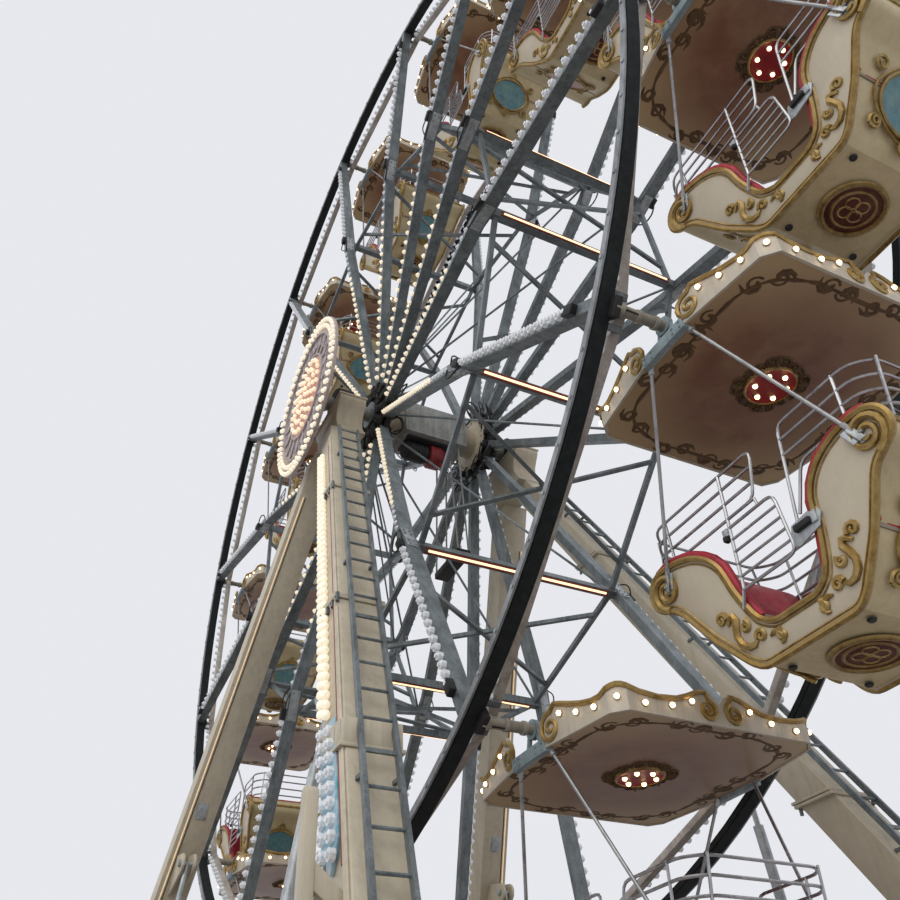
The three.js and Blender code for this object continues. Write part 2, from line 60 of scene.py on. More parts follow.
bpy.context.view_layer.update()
SIDES = ((-1, "front"), (1, "rear"))
LEGS = ((-1, -1, "front_left"), (1, -1, "front_right"), (-1, 1, "rear_left"), (1, 1, "rear_right"))
STATIONS = 14
FIRST_ANGLE = 68.56  # of gondola_01, in degrees above +X
PIVOT_RADIUS = 7.4  # from the axle to the gondolas' stub axles, in metres
AXLE_HEIGHT = 10.8  # above the ground, in metres


# Wiring of shader nodes


class Wiring:
    """Adds nodes to one node tree and joins them up."""

    def __init__(self, tree: bpy.types.NodeTree) -> None:
        """Keeps the tree and empties it.

        Args:
            tree: the node tree that the nodes go into.
        """
        self.tree = tree
        tree.nodes.clear()

    def node(self, kind: str, inputs: Optional[dict] = None, **settings) -> bpy.types.Node:
        """Adds one node.

        Args:
            kind: Blender's name of the node type.
            inputs: a value or an output socket for each named or numbered input.
            settings: values of the node's own attributes.

        Returns:
            The new node.
        """
        node = self.tree.nodes.new(kind)
        for name, value in settings.items():
            setattr(node, name, value)
        for name, value in (inputs or {}).items():
            self.feed(node.inputs[name], value)
        return node

    def feed(self, socket: bpy.types.NodeSocket, value: Socket) -> None:
        """Sets an input, or joins another node's output to it.

        Args:
            socket: the input.
            value: an output socket or a plain value.
        """
        if isinstance(value, bpy.types.NodeSocket):
            self.tree.links.new(value, socket)
        elif socket.type == "RGBA" and len(value) == 3:
            socket.default_value = (*value, 1.0)
        else:
            socket.default_value = value

    def mix(self, factor: Socket, first: Socket, second: Socket, blend: str = "MIX") -> bpy.types.NodeSocket:
        """Mixes two colours.

        Args:
            factor: how much of the second colour shows.
            first: the colour underneath.
            second: the colour on top.
            blend: Blender's name of the blend.

        Returns:
            The mixed colour.
        """
        node = self.node("ShaderNodeMix", data_type="RGBA", blend_type=blend)
        self.feed(node.inputs[0], factor)
        self.feed(node.inputs[6], first)
        self.feed(node.inputs[7], second)
        return node.outputs[2]

    def maths(self, operation: str, first: Socket, second: Socket = 0.0) -> bpy.types.NodeSocket:
        """Works out one number from two, held between nought and one."""
        return self.node("ShaderNodeMath", {0: first, 1: second}, operation=operation, use_clamp=True).outputs[0]

    def spread(
        self, value: Socket, low: float, high: float, start: float = 0.0, end: float = 1.0
    ) -> bpy.types.NodeSocket:
        """Stretches the range from low to high over the range from start to end."""
        return self.node("ShaderNodeMapRange", {0: value, 1: low, 2: high, 3: start, 4: end}).outputs[0]

    def noise(self, place: Socket, scale: Socket, detail: float = 4.0, rough: float = 0.55) -> bpy.types.NodeSocket:
        """Reads a noise.

        Args:
            place: where it is read.
            scale: how fine it is.
            detail: how many finer layers it has.
            rough: how strong these layers are.

        Returns:
            The noise.
        """
        node = self.node(
            "ShaderNodeTexNoise", {"Vector": place, "Scale": scale, "Detail": detail, "Roughness": rough}
        )
        return node.outputs["Fac"]

    def place(self) -> bpy.types.NodeSocket:
        """Gives the object coordinates."""
        return self.node("ShaderNodeTexCoord").outputs["Object"]

    def effect(self, group: bpy.types.NodeTree, inputs: dict) -> bpy.types.NodeOutputs:
        """Adds a shared group and gives its outputs."""
        return self.node("ShaderNodeGroup", inputs, node_tree=group).outputs

    def stain(self, colour: Socket, mask: Socket, strength: float, tone: Socket) -> bpy.types.NodeSocket:
        """Lays a tone over a colour where a mask says, by its strength."""
        return self.mix(self.maths("MULTIPLY", mask, strength), colour, tone)


def shared_group(name: str, scales: dict[str, float], fill: Callable) -> bpy.types.NodeTree:
    """Builds a shader node group once and gives it back after that.

    Args:
        name: the group's name.
        scales: the default of each number that goes in, beside the place.
        fill: lays the nodes, given the wiring and the group's inputs, and gives what comes out under each name.

    Returns:
        The group.
    """
    found = bpy.data.node_groups.get(name)
    if found:
        return found
    tree = bpy.data.node_groups.new(name, "ShaderNodeTree")
    tree.interface.new_socket("Place", in_out="INPUT", socket_type="NodeSocketVector")
    for label, default in scales.items():
        tree.interface.new_socket(label, in_out="INPUT", socket_type="NodeSocketFloat").default_value = default
    w = Wiring(tree)
    results = fill(w, w.node("NodeGroupInput").outputs)
    for label in results:
        tree.interface.new_socket(label, in_out="OUTPUT", socket_type="NodeSocketFloat")
    w.node("NodeGroupOutput", results)
    return tree


def weather_and_shade_nodes(w: Wiring, given: bpy.types.NodeOutputs) -> dict[str, Socket]:
    """Lays the nodes that find patches, rain streaks, fine grain, and the downward faces where shade is painted.

    Args:
        w: the wiring of the group.
        given: the group's inputs.

    Returns:
        The group's results.
    """
    place = given["Place"]
    patches = w.noise(place, given["Patch Scale"], 6.0, 0.6)
    drawn = w.node("ShaderNodeMapping", {"Vector": place, "Scale": (1.0, 1.0, 0.09)}).outputs[0]
    streaks = w.noise(drawn, given["Streak Scale"], 5.0, 0.65)
    normal = w.node("ShaderNodeNewGeometry").outputs["Normal"]
    height = w.node("ShaderNodeSeparateXYZ", {0: normal}).outputs["Z"]
    return {
        "Patches": w.spread(patches, 0.35, 0.68), "Streaks": w.spread(streaks, 0.45, 0.72),
        "Fine": w.noise(place, given["Fine Scale"], 3.0, 0.5),
        # downward faces: painted shade, strongest where a face points straight down
        "Painted Underside Shade": w.spread(height, 0.1, -0.9),
    }


def edge_nodes(w: Wiring, given: bpy.types.NodeOutputs) -> dict[str, Socket]:
    """Lays the nodes that find the worn outer edges, and the inner corners where shade is painted.

    Args:
        w: the wiring of the group.
        given: the group's inputs.

    Returns:
        The group's results.
    """
    point = w.node("ShaderNodeNewGeometry").outputs["Pointiness"]
    broken = w.noise(given["Place"], given["Break Scale"], 5.0, 0.7)
    return {
        "Edge": w.maths("MULTIPLY", w.spread(point, 0.52, 0.6), w.spread(broken, 0.35, 0.65)),
        # inner corners: painted shade in the hollows
        "Painted Corner Shade": w.maths("MULTIPLY", w.spread(point, 0.49, 0.42), w.spread(broken, 0.25, 0.5)),
    }


def crystal_nodes(w: Wiring, given: bpy.types.NodeOutputs) -> dict[str, Socket]:
    """Lays the nodes that draw the crystals of hot dipped zinc.

    Args:
        w: the wiring of the group.
        given: the group's inputs.

    Returns:
        The group's results.
    """
    wander = w.noise(given["Place"], 9.0, 3.0)
    bent = w.node("ShaderNodeVectorMath", {0: given["Place"], 1: wander}, operation="ADD").outputs[0]
    cells = w.node("ShaderNodeTexVoronoi", {"Vector": bent, "Scale": given["Crystal Scale"]}).outputs
    tone = w.node("ShaderNodeSeparateColor", {0: cells["Color"]}).outputs[0]
    return {"Tone": tone, "Height": w.spread(cells["Distance"], 0.0, 0.6)}


def weathering_and_underside_shade() -> bpy.types.NodeTree:
    """Gives the group that says where rain and age show on a surface, and where shade is painted on its undersides.
    """
    return shared_group("weathering_and_underside_shade", {"Patch Scale": 2.0, "Streak Scale": 14.0, "Fine Scale": 90.0}, weather_and_shade_nodes)


def edge_wear_and_corner_shade() -> bpy.types.NodeTree:
    """Gives the group of worn edges and of the inner corners where shade is painted."""
    return shared_group("edges and corners", {"Break Scale": 12.0}, edge_nodes)


def crystals() -> bpy.types.NodeTree:
    """Gives the group of zinc crystals."""
    return shared_group("zinc crystals", {"Crystal Scale": 45.0}, crystal_nodes)


# Modelling by hand: small tools over Blender's operators


def deselect() -> None:
    """Lets go of everything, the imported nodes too."""
    if bpy.context.object and bpy.context.object.mode != "OBJECT":
        bpy.ops.object.mode_set(mode="OBJECT")
    bpy.ops.object.select_all(action="DESELECT")


def pick(piece: Piece) -> None:
    """Selects one piece alone.

    Args:
        piece: the piece.
    """
    deselect()
    piece.select_set(True)
    bpy.context.view_layer.objects.active = piece


@contextmanager
def editing(piece: Piece, selection: str = "SELECT") -> Iterator[None]:
    """Opens one piece in edit mode, and closes it again.

    Args:
        piece: the piece.
        selection: whether all its corners are selected, or none with DESELECT.

    Yields:
        Nothing, while the piece is open.
    """
    pick(piece)
    bpy.ops.object.mode_set(mode="EDIT")
    bpy.ops.mesh.select_all(action=selection)
    yield
    bpy.ops.object.mode_set(mode="OBJECT")


def newest(name: str) -> Piece:
    """Names the primitive that was just added.

    Args:
        name: its name.

    Returns:
        The piece.
    """
    piece = bpy.context.object
    piece.name = name
    piece.data.name = name
    return piece


def settle(piece: Piece) -> Piece:
    """Puts a piece's place, turn and size into its mesh.

    Args:
        piece: the piece.

    Returns:
        The same piece.
    """
    pick(piece)
    bpy.ops.object.transform_apply(location=True, rotation=True, scale=True)
    return piece


def dress(piece: Piece, finish: "Finish") -> Piece:
    """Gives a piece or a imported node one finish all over.

    Args:
        piece: the piece.
        finish: its finish.

    Returns:
        The same piece.
    """
    if not piece.material_slots:
        piece.data.materials.append(None)
    for slot in piece.material_slots:
        slot.material = finish.material()
    return piece


def block(name: str, low: Point, high: Point, bevel: float = 0.0) -> Piece:
    """A box with softened edges.

    Args:
        name: its name.
        low: one corner.
        high: the opposite corner.
        bevel: how wide its edges are rounded, in metres.

    Returns:
        The box.
    """
    middle = [(a + b) / 2 for a, b in zip(low, high)]
    deselect()
    bpy.ops.mesh.primitive_cube_add(size=1, location=middle, scale=[abs(b - a) for a, b in zip(low, high)])
    piece = settle(newest(name))
    return soften(piece, bevel) if bevel else piece


def soften(piece: Piece, width: float, segments: int = 2, angle: float = 30.0) -> Piece:
    """Rounds a piece's sharp edges.

    Args:
        piece: the piece.
        width: how wide, in metres.
        segments: how many steps.
        angle: the least angle of an edge that is rounded, in degrees.

    Returns:
        The same piece.
    """
    pick(piece)
    bevel = piece.modifiers.new("rounded edges", "BEVEL")
    bevel.width, bevel.segments, bevel.angle_limit = width, segments, radians(angle)
    bpy.ops.object.modifier_apply(modifier=bevel.name)
    return smooth(piece)


def smooth(piece: Piece, angle: float = 40.0) -> Piece:
    """Shades a piece smooth but for its sharp edges.

    Args:
        piece: the piece.
        angle: the least angle of an edge that stays sharp, in degrees.

    Returns:
        The same piece.
    """
    pick(piece)
    bpy.ops.object.shade_smooth_by_angle(angle=radians(angle))
    return piece


def rounded(points: Sequence[Point], radius: float, steps: int = 4, closed: bool = False) -> list[Vector]:
    """Rounds the corners of a path.

    Args:
        points: the path's corners.
        radius: how far from a corner the bend begins, in metres.
        steps: how many points each bend has.
        closed: whether the last corner joins the first.

    Returns:
        The finer path.
    """
    path = [Vector(p) for p in points]
    made = [] if closed else [path[0]]
    for here in range(0 if closed else 1, len(path) if closed else len(path) - 1):
        before, corner, after = path[here - 1], path[here], path[(here + 1) % len(path)]
        back = (before - corner).normalized() * min(radius, (before - corner).length * 0.45)
        ahead = (after - corner).normalized() * min(radius, (after - corner).length * 0.45)
        for step in range(steps + 1):
            t = step / steps
            made.append((corner + back) * (1 - t) ** 2 + corner * 2 * t * (1 - t) + (corner + ahead) * t**2)
    return made if closed else [*made, path[-1]]


def bent_bar(
    name: str, points: Sequence[Point], radius: float, sides: int = 6, closed: bool = False,
    taper: Sequence[float] = ()
) -> Piece:
    """A round bar bent along a path.

    Args:
        name: its name.
        points: the path.
        radius: the bar's radius, in metres.
        sides: four, six, eight or more sides.
        closed: whether its ends meet.
        taper: the share of the radius at each point, where it varies.

    Returns:
        The bar, as a mesh.
    """
    deselect()
    bpy.ops.curve.primitive_bezier_curve_add()
    curve = bpy.context.object.data
    curve.splines.clear()
    spline = curve.splines.new("POLY")
    spline.points.add(len(points) - 1)
    for index, point in enumerate(points):
        spline.points[index].co = (*point, 1.0)
        spline.points[index].radius = taper[index] if taper else 1.0
    spline.use_cyclic_u = closed
    curve.dimensions = "3D"
    curve.bevel_depth, curve.bevel_resolution, curve.use_fill_caps = radius, sides // 2 - 2, True
    bpy.ops.object.convert(target="MESH")
    piece = newest(name)
    weld(piece)
    return smooth(piece, 50)


def weld(piece: Piece) -> Piece:
    """Joins a piece's doubled corners and turns its faces outwards.

    Args:
        piece: the piece.

    Returns:
        The same piece.
    """
    with editing(piece):
        bpy.ops.mesh.remove_doubles(threshold=0.00002)
        bpy.ops.mesh.normals_make_consistent(inside=False)
    return piece


def outline(name: str, points: Sequence[Point], filled: bool = True) -> Piece:
    """A closed outline, filled with one face or left as edges.

    Args:
        name: its name.
        points: its corners.
        filled: whether it has a face.

    Returns:
        The outline.
    """
    deselect()
    bpy.ops.mesh.primitive_circle_add(vertices=len(points), fill_type="NGON" if filled else "NOTHING")
    piece = newest(name)
    for corner, point in zip(piece.data.vertices, points):
        corner.co = point
    return piece


def open_chain(piece: Piece) -> None:
    """Takes away the edge that closes an outline.

    Args:
        piece: an outline without a face.
    """
    with editing(piece, "DESELECT"):
        pass
    ends = {0, len(piece.data.vertices) - 1}
    for edge in piece.data.edges:
        edge.select = set(edge.vertices) == ends
    bpy.ops.object.mode_set(mode="EDIT")
    bpy.ops.mesh.select_mode(type="EDGE")
    bpy.ops.mesh.delete(type="EDGE")
    bpy.ops.mesh.select_mode(type="VERT")
    bpy.ops.object.mode_set(mode="OBJECT")


def drawn_out(piece: Piece, shift: Point) -> Piece:
    """Extrudes all of a piece.

    Args:
        piece: an outline.
        shift: how far and which way, in metres.

    Returns:
        The same piece, a closed solid if the outline was filled.
    """
    with editing(piece):
        bpy.ops.mesh.extrude_region_move(TRANSFORM_OT_translate={"value": shift})
        bpy.ops.mesh.select_all(action="SELECT")
        bpy.ops.mesh.normals_make_consistent(inside=False)
    return piece


def plate(name: str, points: Sequence[Point], shift: Point, bevel: float = 0.0) -> Piece:
    """A flat plate of any outline.

    Args:
        name: its name.
        points: the corners of one face.
        shift: its thickness as a direction, in metres.
        bevel: how wide its edges are rounded, in metres.

    Returns:
        The plate.
    """
    piece = drawn_out(outline(name, points), shift)
    return soften(piece, bevel) if bevel else smooth(piece, 30)


def thicken(piece: Piece, wall: float, offset: float = -1.0) -> Piece:
    """Gives a sheet its thickness.

    Args:
        piece: the sheet.
        wall: the thickness, in metres.
        offset: minus one inwards, plus one outwards.

    Returns:
        The same piece.
    """
    pick(piece)
    solid = piece.modifiers.new("thickness", "SOLIDIFY")
    solid.thickness, solid.offset, solid.use_even_offset = wall, offset, True
    bpy.ops.object.modifier_apply(modifier=solid.name)
    return piece


def square(inner: float, outer: float, start: float, end: float) -> list[tuple[float, float]]:
    """Gives the section of a turned ring from its two radii and its two ends along the axis."""
    return [(inner, start), (outer, start), (outer, end), (inner, end)]


def turned(
    name: str, profile: Sequence[tuple[float, float]], centre: Point, axis: str, steps: int = 24, closed: bool = False
) -> Piece:
    """A shape spun from a profile, as on a lathe.

    Args:
        name: its name.
        profile: radius and place along the axis of each corner.
        centre: where the axis starts.
        axis: X, Y or Z.
        steps: how many steps a full turn has.
        closed: whether the profile's last corner joins its first.

    Returns:
        The shape.
    """
    along = {"X": Vector((1, 0, 0)), "Y": Vector((0, 1, 0)), "Z": Vector((0, 0, 1))}[axis]
    out = {"X": Vector((0, 0, 1)), "Y": Vector((1, 0, 0)), "Z": Vector((1, 0, 0))}[axis]
    points = [Vector(centre) + out * r + along * a for r, a in profile]
    piece = outline(name, points, filled=False)
    if not closed:
        open_chain(piece)
    with editing(piece):
        bpy.ops.mesh.spin(steps=steps, angle=2 * pi, center=centre, axis=along)
    return smooth(weld(piece), 35)


def joined(name: str, pieces: Sequence[Piece]) -> Piece:
    """Joins pieces into one, each keeping its finish.

    Args:
        name: the name of the whole.
        pieces: the pieces.

    Returns:
        The whole.
    """
    deselect()
    for piece in pieces:
        piece.select_set(True)
    bpy.context.view_layer.objects.active = pieces[0]
    if len(pieces) > 1:
        bpy.ops.object.join()
    return newest(name)


def moved_copy(piece: Piece, name: str, place: Matrix) -> Piece:
    """Copies a piece, with its own mesh, to another place.

    Args:
        piece: the piece.
        name: the copy's name.
        place: where the copy stands.

    Returns:
        The copy.
    """
    copy = piece.copy()
    copy.data = piece.data.copy()
    copy.name = copy.data.name = name
    copy.data.transform(place)
    if place.to_3x3().determinant() < 0:
        copy.data.flip_normals()
    bpy.context.scene.collection.objects.link(copy)
    return copy


def drop(*pieces: Piece) -> None:
    """Throws away patterns that were only copied from."""
    for piece in pieces:
        bpy.data.objects.remove(piece)


def strewn(name: str, pattern: Piece, places: Sequence[Matrix]) -> Piece:
    """Sets copies of one small shape in many places, as one piece.

    Args:
        name: the piece's name.
        pattern: the small shape, which is thrown away.
        places: where the copies stand.

    Returns:
        The piece.
    """
    corners = [v.co.copy() for v in pattern.data.vertices]
    faces = [tuple(p.vertices) for p in pattern.data.polygons]
    all_corners, all_faces = [], []
    for index, place in enumerate(places):
        start = index * len(corners)
        all_corners.extend(place @ corner for corner in corners)
        all_faces.extend(tuple(start + v for v in face) for face in faces)
    mesh = bpy.data.meshes.new(name)
    mesh.from_pydata(all_corners, [], all_faces)
    for material in pattern.data.materials:
        mesh.materials.append(material)
    mesh.polygons.foreach_set("use_smooth", [True] * len(all_faces))
    piece = bpy.data.objects.new(name, mesh)
    bpy.context.scene.collection.objects.link(piece)
    drop(pattern)
    return smooth(piece, 40)


def facing(spot: Point, outward: Point, spin: float = 0.0) -> Matrix:
    """The place of a small shape on a surface, its Z axis outward and spun about it by some radians."""
    turn = Vector(outward).to_track_quat("Z", "Y").to_matrix().to_4x4()
    return Matrix.Translation(spot) @ turn @ Matrix.Rotation(spin, 4, "Z")


def spiral(
    centre: Point, across: Vector, up: Vector, start: float, turns: float, radii: tuple[float, float], steps: int = 22
) -> list[Vector]:
    """The path of a volute in a plane.

    Args:
        centre: its eye.
        across: the plane's first direction.
        up: the plane's second direction.
        start: the angle where its outer end lies, in radians.
        turns: how often it winds, negative the other way.
        radii: its outer and inner radius, in metres.
        steps: how many points it has.

    Returns:
        The points, from the outer end to the eye.
    """
    made = []
    for step in range(steps + 1):
        share = step / steps
        radius = radii[0] + (radii[1] - radii[0]) * share**0.8
        angle = start + turns * 2 * pi * share
        made.append(Vector(centre) + across * radius * cos(angle) + up * radius * sin(angle))
    return made


# Finishes


@dataclass(frozen=True)
class Finish:
    """A surface finish that becomes one Blender material."""

    name: str

    def material(self) -> bpy.types.Material:
        """Builds the material the first time and gives it back after that.

        Returns:
            The material.
        """
        found = bpy.data.materials.get(self.name)
        if found:
            return found
        made = bpy.data.materials.new(self.name)
        made.use_nodes = True
        wiring = Wiring(made.node_tree)
        shader = wiring.node("ShaderNodeBsdfPrincipled")
        wiring.node("ShaderNodeOutputMaterial", {"Surface": shader.outputs[0]})
        self.lay(wiring, shader)
        return made

    def lay(self, w: Wiring, shader: bpy.types.Node) -> None:
        """Feeds the shader; each kind of finish has its own way.

        Args:
            w: the wiring of the material.
            shader: its shader.
        """
        raise NotImplementedError

    def fix(self, shader: bpy.types.Node, constants: dict[str, float]) -> None:
        """Sets constants on the shader's sockets."""
        for name, value in constants.items():
            shader.inputs[name].default_value = value

    def bump(self, w: Wiring, shader: bpy.types.Node, height: Socket, depth: float, strength: float = 0.35) -> None:
        """Roughens the shader's normal by a height whose greatest value is the depth, in metres."""
        node = w.node("ShaderNodeBump", {"Height": height, "Distance": depth, "Strength": strength})
        w.feed(shader.inputs["Normal"], node.outputs[0])


@dataclass(frozen=True)
class Paint(Finish):
    """Brushed or sprayed paint with patches, rain streaks, worn edges, and painted shade in the inner corners and on
    the undersides.
    """

    tone: Tone = (0.5, 0.45, 0.35)
    patch: Tone = (0.42, 0.37, 0.28)
    grime_and_shade: Tone = (0.12, 0.1, 0.07)
    worn: Tone = (0.3, 0.26, 0.2)
    dirt_and_shade: float = 0.5
    streaking: float = 0.45
    wear: float = 0.35
    rough: float = 0.42
    metal: float = 0.0
    coat: float = 0.15
    patch_scale: float = 1.6
    streak_scale: float = 12.0
    grain: float = 0.0006
    shine: float = 0.5

    def lay(self, w: Wiring, shader: bpy.types.Node) -> None:
        """Lays patches, streaks, wear on the edges, and painted shade in the corners and underneath.

        Args:
            w: the wiring of the material.
            shader: its shader.
        """
        place = w.place()
        scales = {"Place": place, "Patch Scale": self.patch_scale, "Streak Scale": self.streak_scale}
        weather = w.effect(weathering_and_underside_shade(), scales)
        edges = w.effect(edge_wear_and_corner_shade(), {"Place": place})
        streaks = w.maths("MULTIPLY", weather["Streaks"], self.streaking)
        colour = w.mix(weather["Patches"], self.tone, self.patch)
        colour = w.mix(streaks, colour, self.grime_and_shade)
        # painted shade: the undersides and the inner corners are darkened towards the grime tone
        colour = w.stain(colour, weather["Painted Underside Shade"], self.dirt_and_shade * 0.6, self.grime_and_shade)
        colour = w.stain(colour, edges["Painted Corner Shade"], self.dirt_and_shade, self.grime_and_shade)
        w.feed(shader.inputs["Base Color"], w.stain(colour, edges["Edge"], self.wear, self.worn))
        rough = w.spread(weather["Patches"], 0.0, 1.0, self.rough, min(self.rough + 0.2, 1.0))
        w.feed(shader.inputs["Roughness"], w.maths("ADD", rough, w.maths("MULTIPLY", streaks, 0.25)))
        constants = {
            "Metallic": self.metal, "Coat Weight": self.coat, "Coat Roughness": 0.3, "Specular IOR Level": self.shine
        }
        self.fix(shader, constants)
        self.bump(w, shader, weather["Fine"], self.grain)


@dataclass(frozen=True)
class Zinc(Finish):
    """Hot dipped galvanised steel, dull and cloudy."""

    light: Tone = (0.25, 0.285, 0.295)
    dark: Tone = (0.13, 0.155, 0.165)
    stain: Tone = (0.045, 0.045, 0.04)
    crystal: float = 40.0
    metal: float = 0.55
    rough: float = 0.48
    dirt_and_shade: float = 0.45

    def lay(self, w: Wiring, shader: bpy.types.Node) -> None:
        """Lays crystals, cloudy patches and brown streaked stains, and paints shade on the undersides with the stain
        tone.

        Args:
            w: the wiring of the material.
            shader: its shader.
        """
        place = w.place()
        weather = w.effect(weathering_and_underside_shade(), {"Place": place, "Patch Scale": 3.5, "Streak Scale": 16.0})
        spangle = w.effect(crystals(), {"Place": place, "Crystal Scale": self.crystal})
        cloud = w.mix(weather["Patches"], self.light, self.dark)
        flecks = w.mix(0.28, cloud, spangle["Tone"], "SOFT_LIGHT")
        stains = w.maths("MULTIPLY", weather["Streaks"], self.dirt_and_shade)
        colour = w.mix(stains, flecks, self.stain)
        # painted shade: the undersides are darkened towards the stain tone
        w.feed(shader.inputs["Base Color"], w.stain(colour, weather["Painted Underside Shade"], self.dirt_and_shade * 0.5, self.stain))
        rough = w.spread(spangle["Tone"], 0.0, 1.0, self.rough - 0.1, self.rough + 0.12)
        w.feed(shader.inputs["Roughness"], w.maths("ADD", rough, w.maths("MULTIPLY", stains, 0.3)))
        self.fix(shader, {"Metallic": self.metal})
        self.bump(w, shader, spangle["Height"], 0.0005)


@dataclass(frozen=True)
class Glass(Finish):
    """A small ribbed lamp cap, lit, or unlit with a faint painted glow."""

    tone: Tone = (0.75, 0.75, 0.76)
    glow: Tone = (1.0, 0.62, 0.25)
    light: float = 0.0
    rough: float = 0.22

    def lay(self, w: Wiring, shader: bpy.types.Node) -> None:
        """Lays ribs, a cloudy tone and the glow, which on an unlit cap is a painted brightness.

        Args:
            w: the wiring of the material.
            shader: its shader.
        """
        place = w.place()
        cloud = w.noise(place, 30.0, 3.0)
        dim, faint = (tuple(share * c for c in tone) for share, tone in ((0.72, self.tone), (0.8, self.glow)))
        w.feed(shader.inputs["Base Color"], w.mix(w.spread(cloud, 0.35, 0.7), self.tone, dim))
        w.feed(shader.inputs["Roughness"], w.spread(cloud, 0.2, 0.8, self.rough, self.rough + 0.2))
        self.fix(shader, {"Coat Weight": 0.5, "Coat Roughness": 0.08})
        if self.light:
            w.feed(shader.inputs["Emission Color"], w.mix(w.spread(cloud, 0.3, 0.7), self.glow, faint))
            self.fix(shader, {"Emission Strength": self.light})
        self.bump(w, shader, w.noise(place, 220.0, 1.0), 0.0008, 0.5)


@dataclass(frozen=True)
class Vinyl(Finish):
    """Red seat vinyl with a leather grain and paler worn crowns."""

    tone: Tone = (0.42, 0.01, 0.03)
    worn: Tone = (0.5, 0.06, 0.08)
    dark: Tone = (0.2, 0.005, 0.014)

    def lay(self, w: Wiring, shader: bpy.types.Node) -> None:
        """Lays the grain, the worn crowns, and painted shade in the folds.

        Args:
            w: the wiring of the material.
            shader: its shader.
        """
        place = w.place()
        edges = w.effect(edge_wear_and_corner_shade(), {"Place": place})
        cloud = w.noise(place, 7.0, 4.0)
        colour = w.mix(w.spread(cloud, 0.35, 0.7), self.tone, self.dark)
        colour = w.stain(colour, edges["Edge"], 0.5, self.worn)
        # painted shade: the folds and inner corners are darkened towards the dark tone
        w.feed(shader.inputs["Base Color"], w.stain(colour, edges["Painted Corner Shade"], 0.8, self.dark))
        w.feed(shader.inputs["Roughness"], w.spread(cloud, 0.3, 0.8, 0.4, 0.55))
        self.fix(shader, {"Coat Weight": 0.08, "Specular IOR Level": 0.35})
        grain = w.node("ShaderNodeTexVoronoi", {"Vector": place, "Scale": 420.0}, feature="DISTANCE_TO_EDGE")
        self.bump(w, shader, w.spread(grain.outputs["Distance"], 0.0, 0.3), 0.0006, 0.4)


@dataclass(frozen=True)
class CeilingPaint(Finish):
    """Glossy mauve-brown ceiling with painted clouds, paler towards the edge."""

    middle: Tone = (0.18, 0.08, 0.046)
    edge: Tone = (0.41, 0.3, 0.16)
    cloud: Tone = (0.225, 0.115, 0.066)

    def lay(self, w: Wiring, shader: bpy.types.Node) -> None:
        """Lays the clouds over the piece's own map.

        Args:
            w: the wiring of the material.
            shader: its shader.
        """
        place = w.node("ShaderNodeUVMap", uv_map="over_the_ceiling").outputs[0]
        weather = w.effect(weathering_and_underside_shade(), {"Place": w.place(), "Patch Scale": 3.0})
        away = w.node("ShaderNodeVectorMath", {0: place}, operation="LENGTH").outputs["Value"]
        wavy = w.noise(place, 2.1, 4.0, 0.6)
        colour = w.mix(w.spread(wavy, 0.42, 0.58), self.middle, self.cloud)
        colour = w.mix(w.spread(away, 0.62, 1.25), colour, self.edge)
        w.feed(shader.inputs["Base Color"], w.stain(colour, weather["Patches"], 0.2, self.edge))
        w.feed(shader.inputs["Roughness"], w.spread(wavy, 0.3, 0.7, 0.32, 0.42))
        self.fix(shader, {"Coat Weight": 0.06, "Coat Roughness": 0.15, "Specular IOR Level": 0.35})
        self.bump(w, shader, weather["Fine"], 0.0004)


CREAM = Paint(
    "cream_frame_paint", (0.53, 0.47, 0.35), (0.46, 0.40, 0.29), (0.16, 0.13, 0.085), (0.62, 0.57, 0.46),
    patch_scale=1.1, streaking=0.3
)
ZINC = Zinc("galvanised_steel_finish")
RIM_BLACK = Paint(
    "rim_black_rubber", (0.004, 0.007, 0.008), (0.008, 0.012, 0.013), (0.018, 0.018, 0.016), (0.05, 0.055, 0.055),
    dirt_and_shade=0.25, streaking=0.3, wear=0.25, rough=0.6, coat=0.0, shine=0.2
)
STRIP = Zinc(
    "light_strip_metal", (0.5, 0.47, 0.43), (0.34, 0.31, 0.275), (0.16, 0.12, 0.085), crystal=8.0, metal=0.15,
    dirt_and_shade=0.35
)
SIGN = Paint(
    "sign_pink_cream_paint", (0.5, 0.4, 0.33), (0.42, 0.32, 0.26), (0.16, 0.1, 0.07), (0.6, 0.5, 0.42),
    patch_scale=2.5
)
TUB = Paint(
    "tub_cream_gelcoat", (0.54, 0.47, 0.35), (0.5, 0.43, 0.31), (0.22, 0.17, 0.09), (0.62, 0.56, 0.44), rough=0.4,
    dirt_and_shade=0.35, streaking=0.1, patch_scale=3.5, streak_scale=24.0, grain=0.0003
)
FASCIA = Paint(
    "fascia_cream_gelcoat", (0.52, 0.48, 0.39), (0.45, 0.4, 0.31), (0.2, 0.14, 0.08), (0.6, 0.55, 0.45), rough=0.4,
    streaking=0.3, patch_scale=5.0, streak_scale=22.0, grain=0.0003
)
ROOF = Paint(
    "roof_brown_paint", (0.2, 0.15, 0.11), (0.15, 0.11, 0.08), (0.08, 0.06, 0.045), (0.3, 0.25, 0.2), rough=0.55,
    patch_scale=2.5
)
GARLAND = Paint(
    "garland_brown_paint", (0.065, 0.033, 0.016), (0.13, 0.075, 0.026), (0.022, 0.012, 0.007), (0.2, 0.12, 0.045),
    rough=0.45, coat=0.05, patch_scale=14.0, wear=0.4, shine=0.25
)
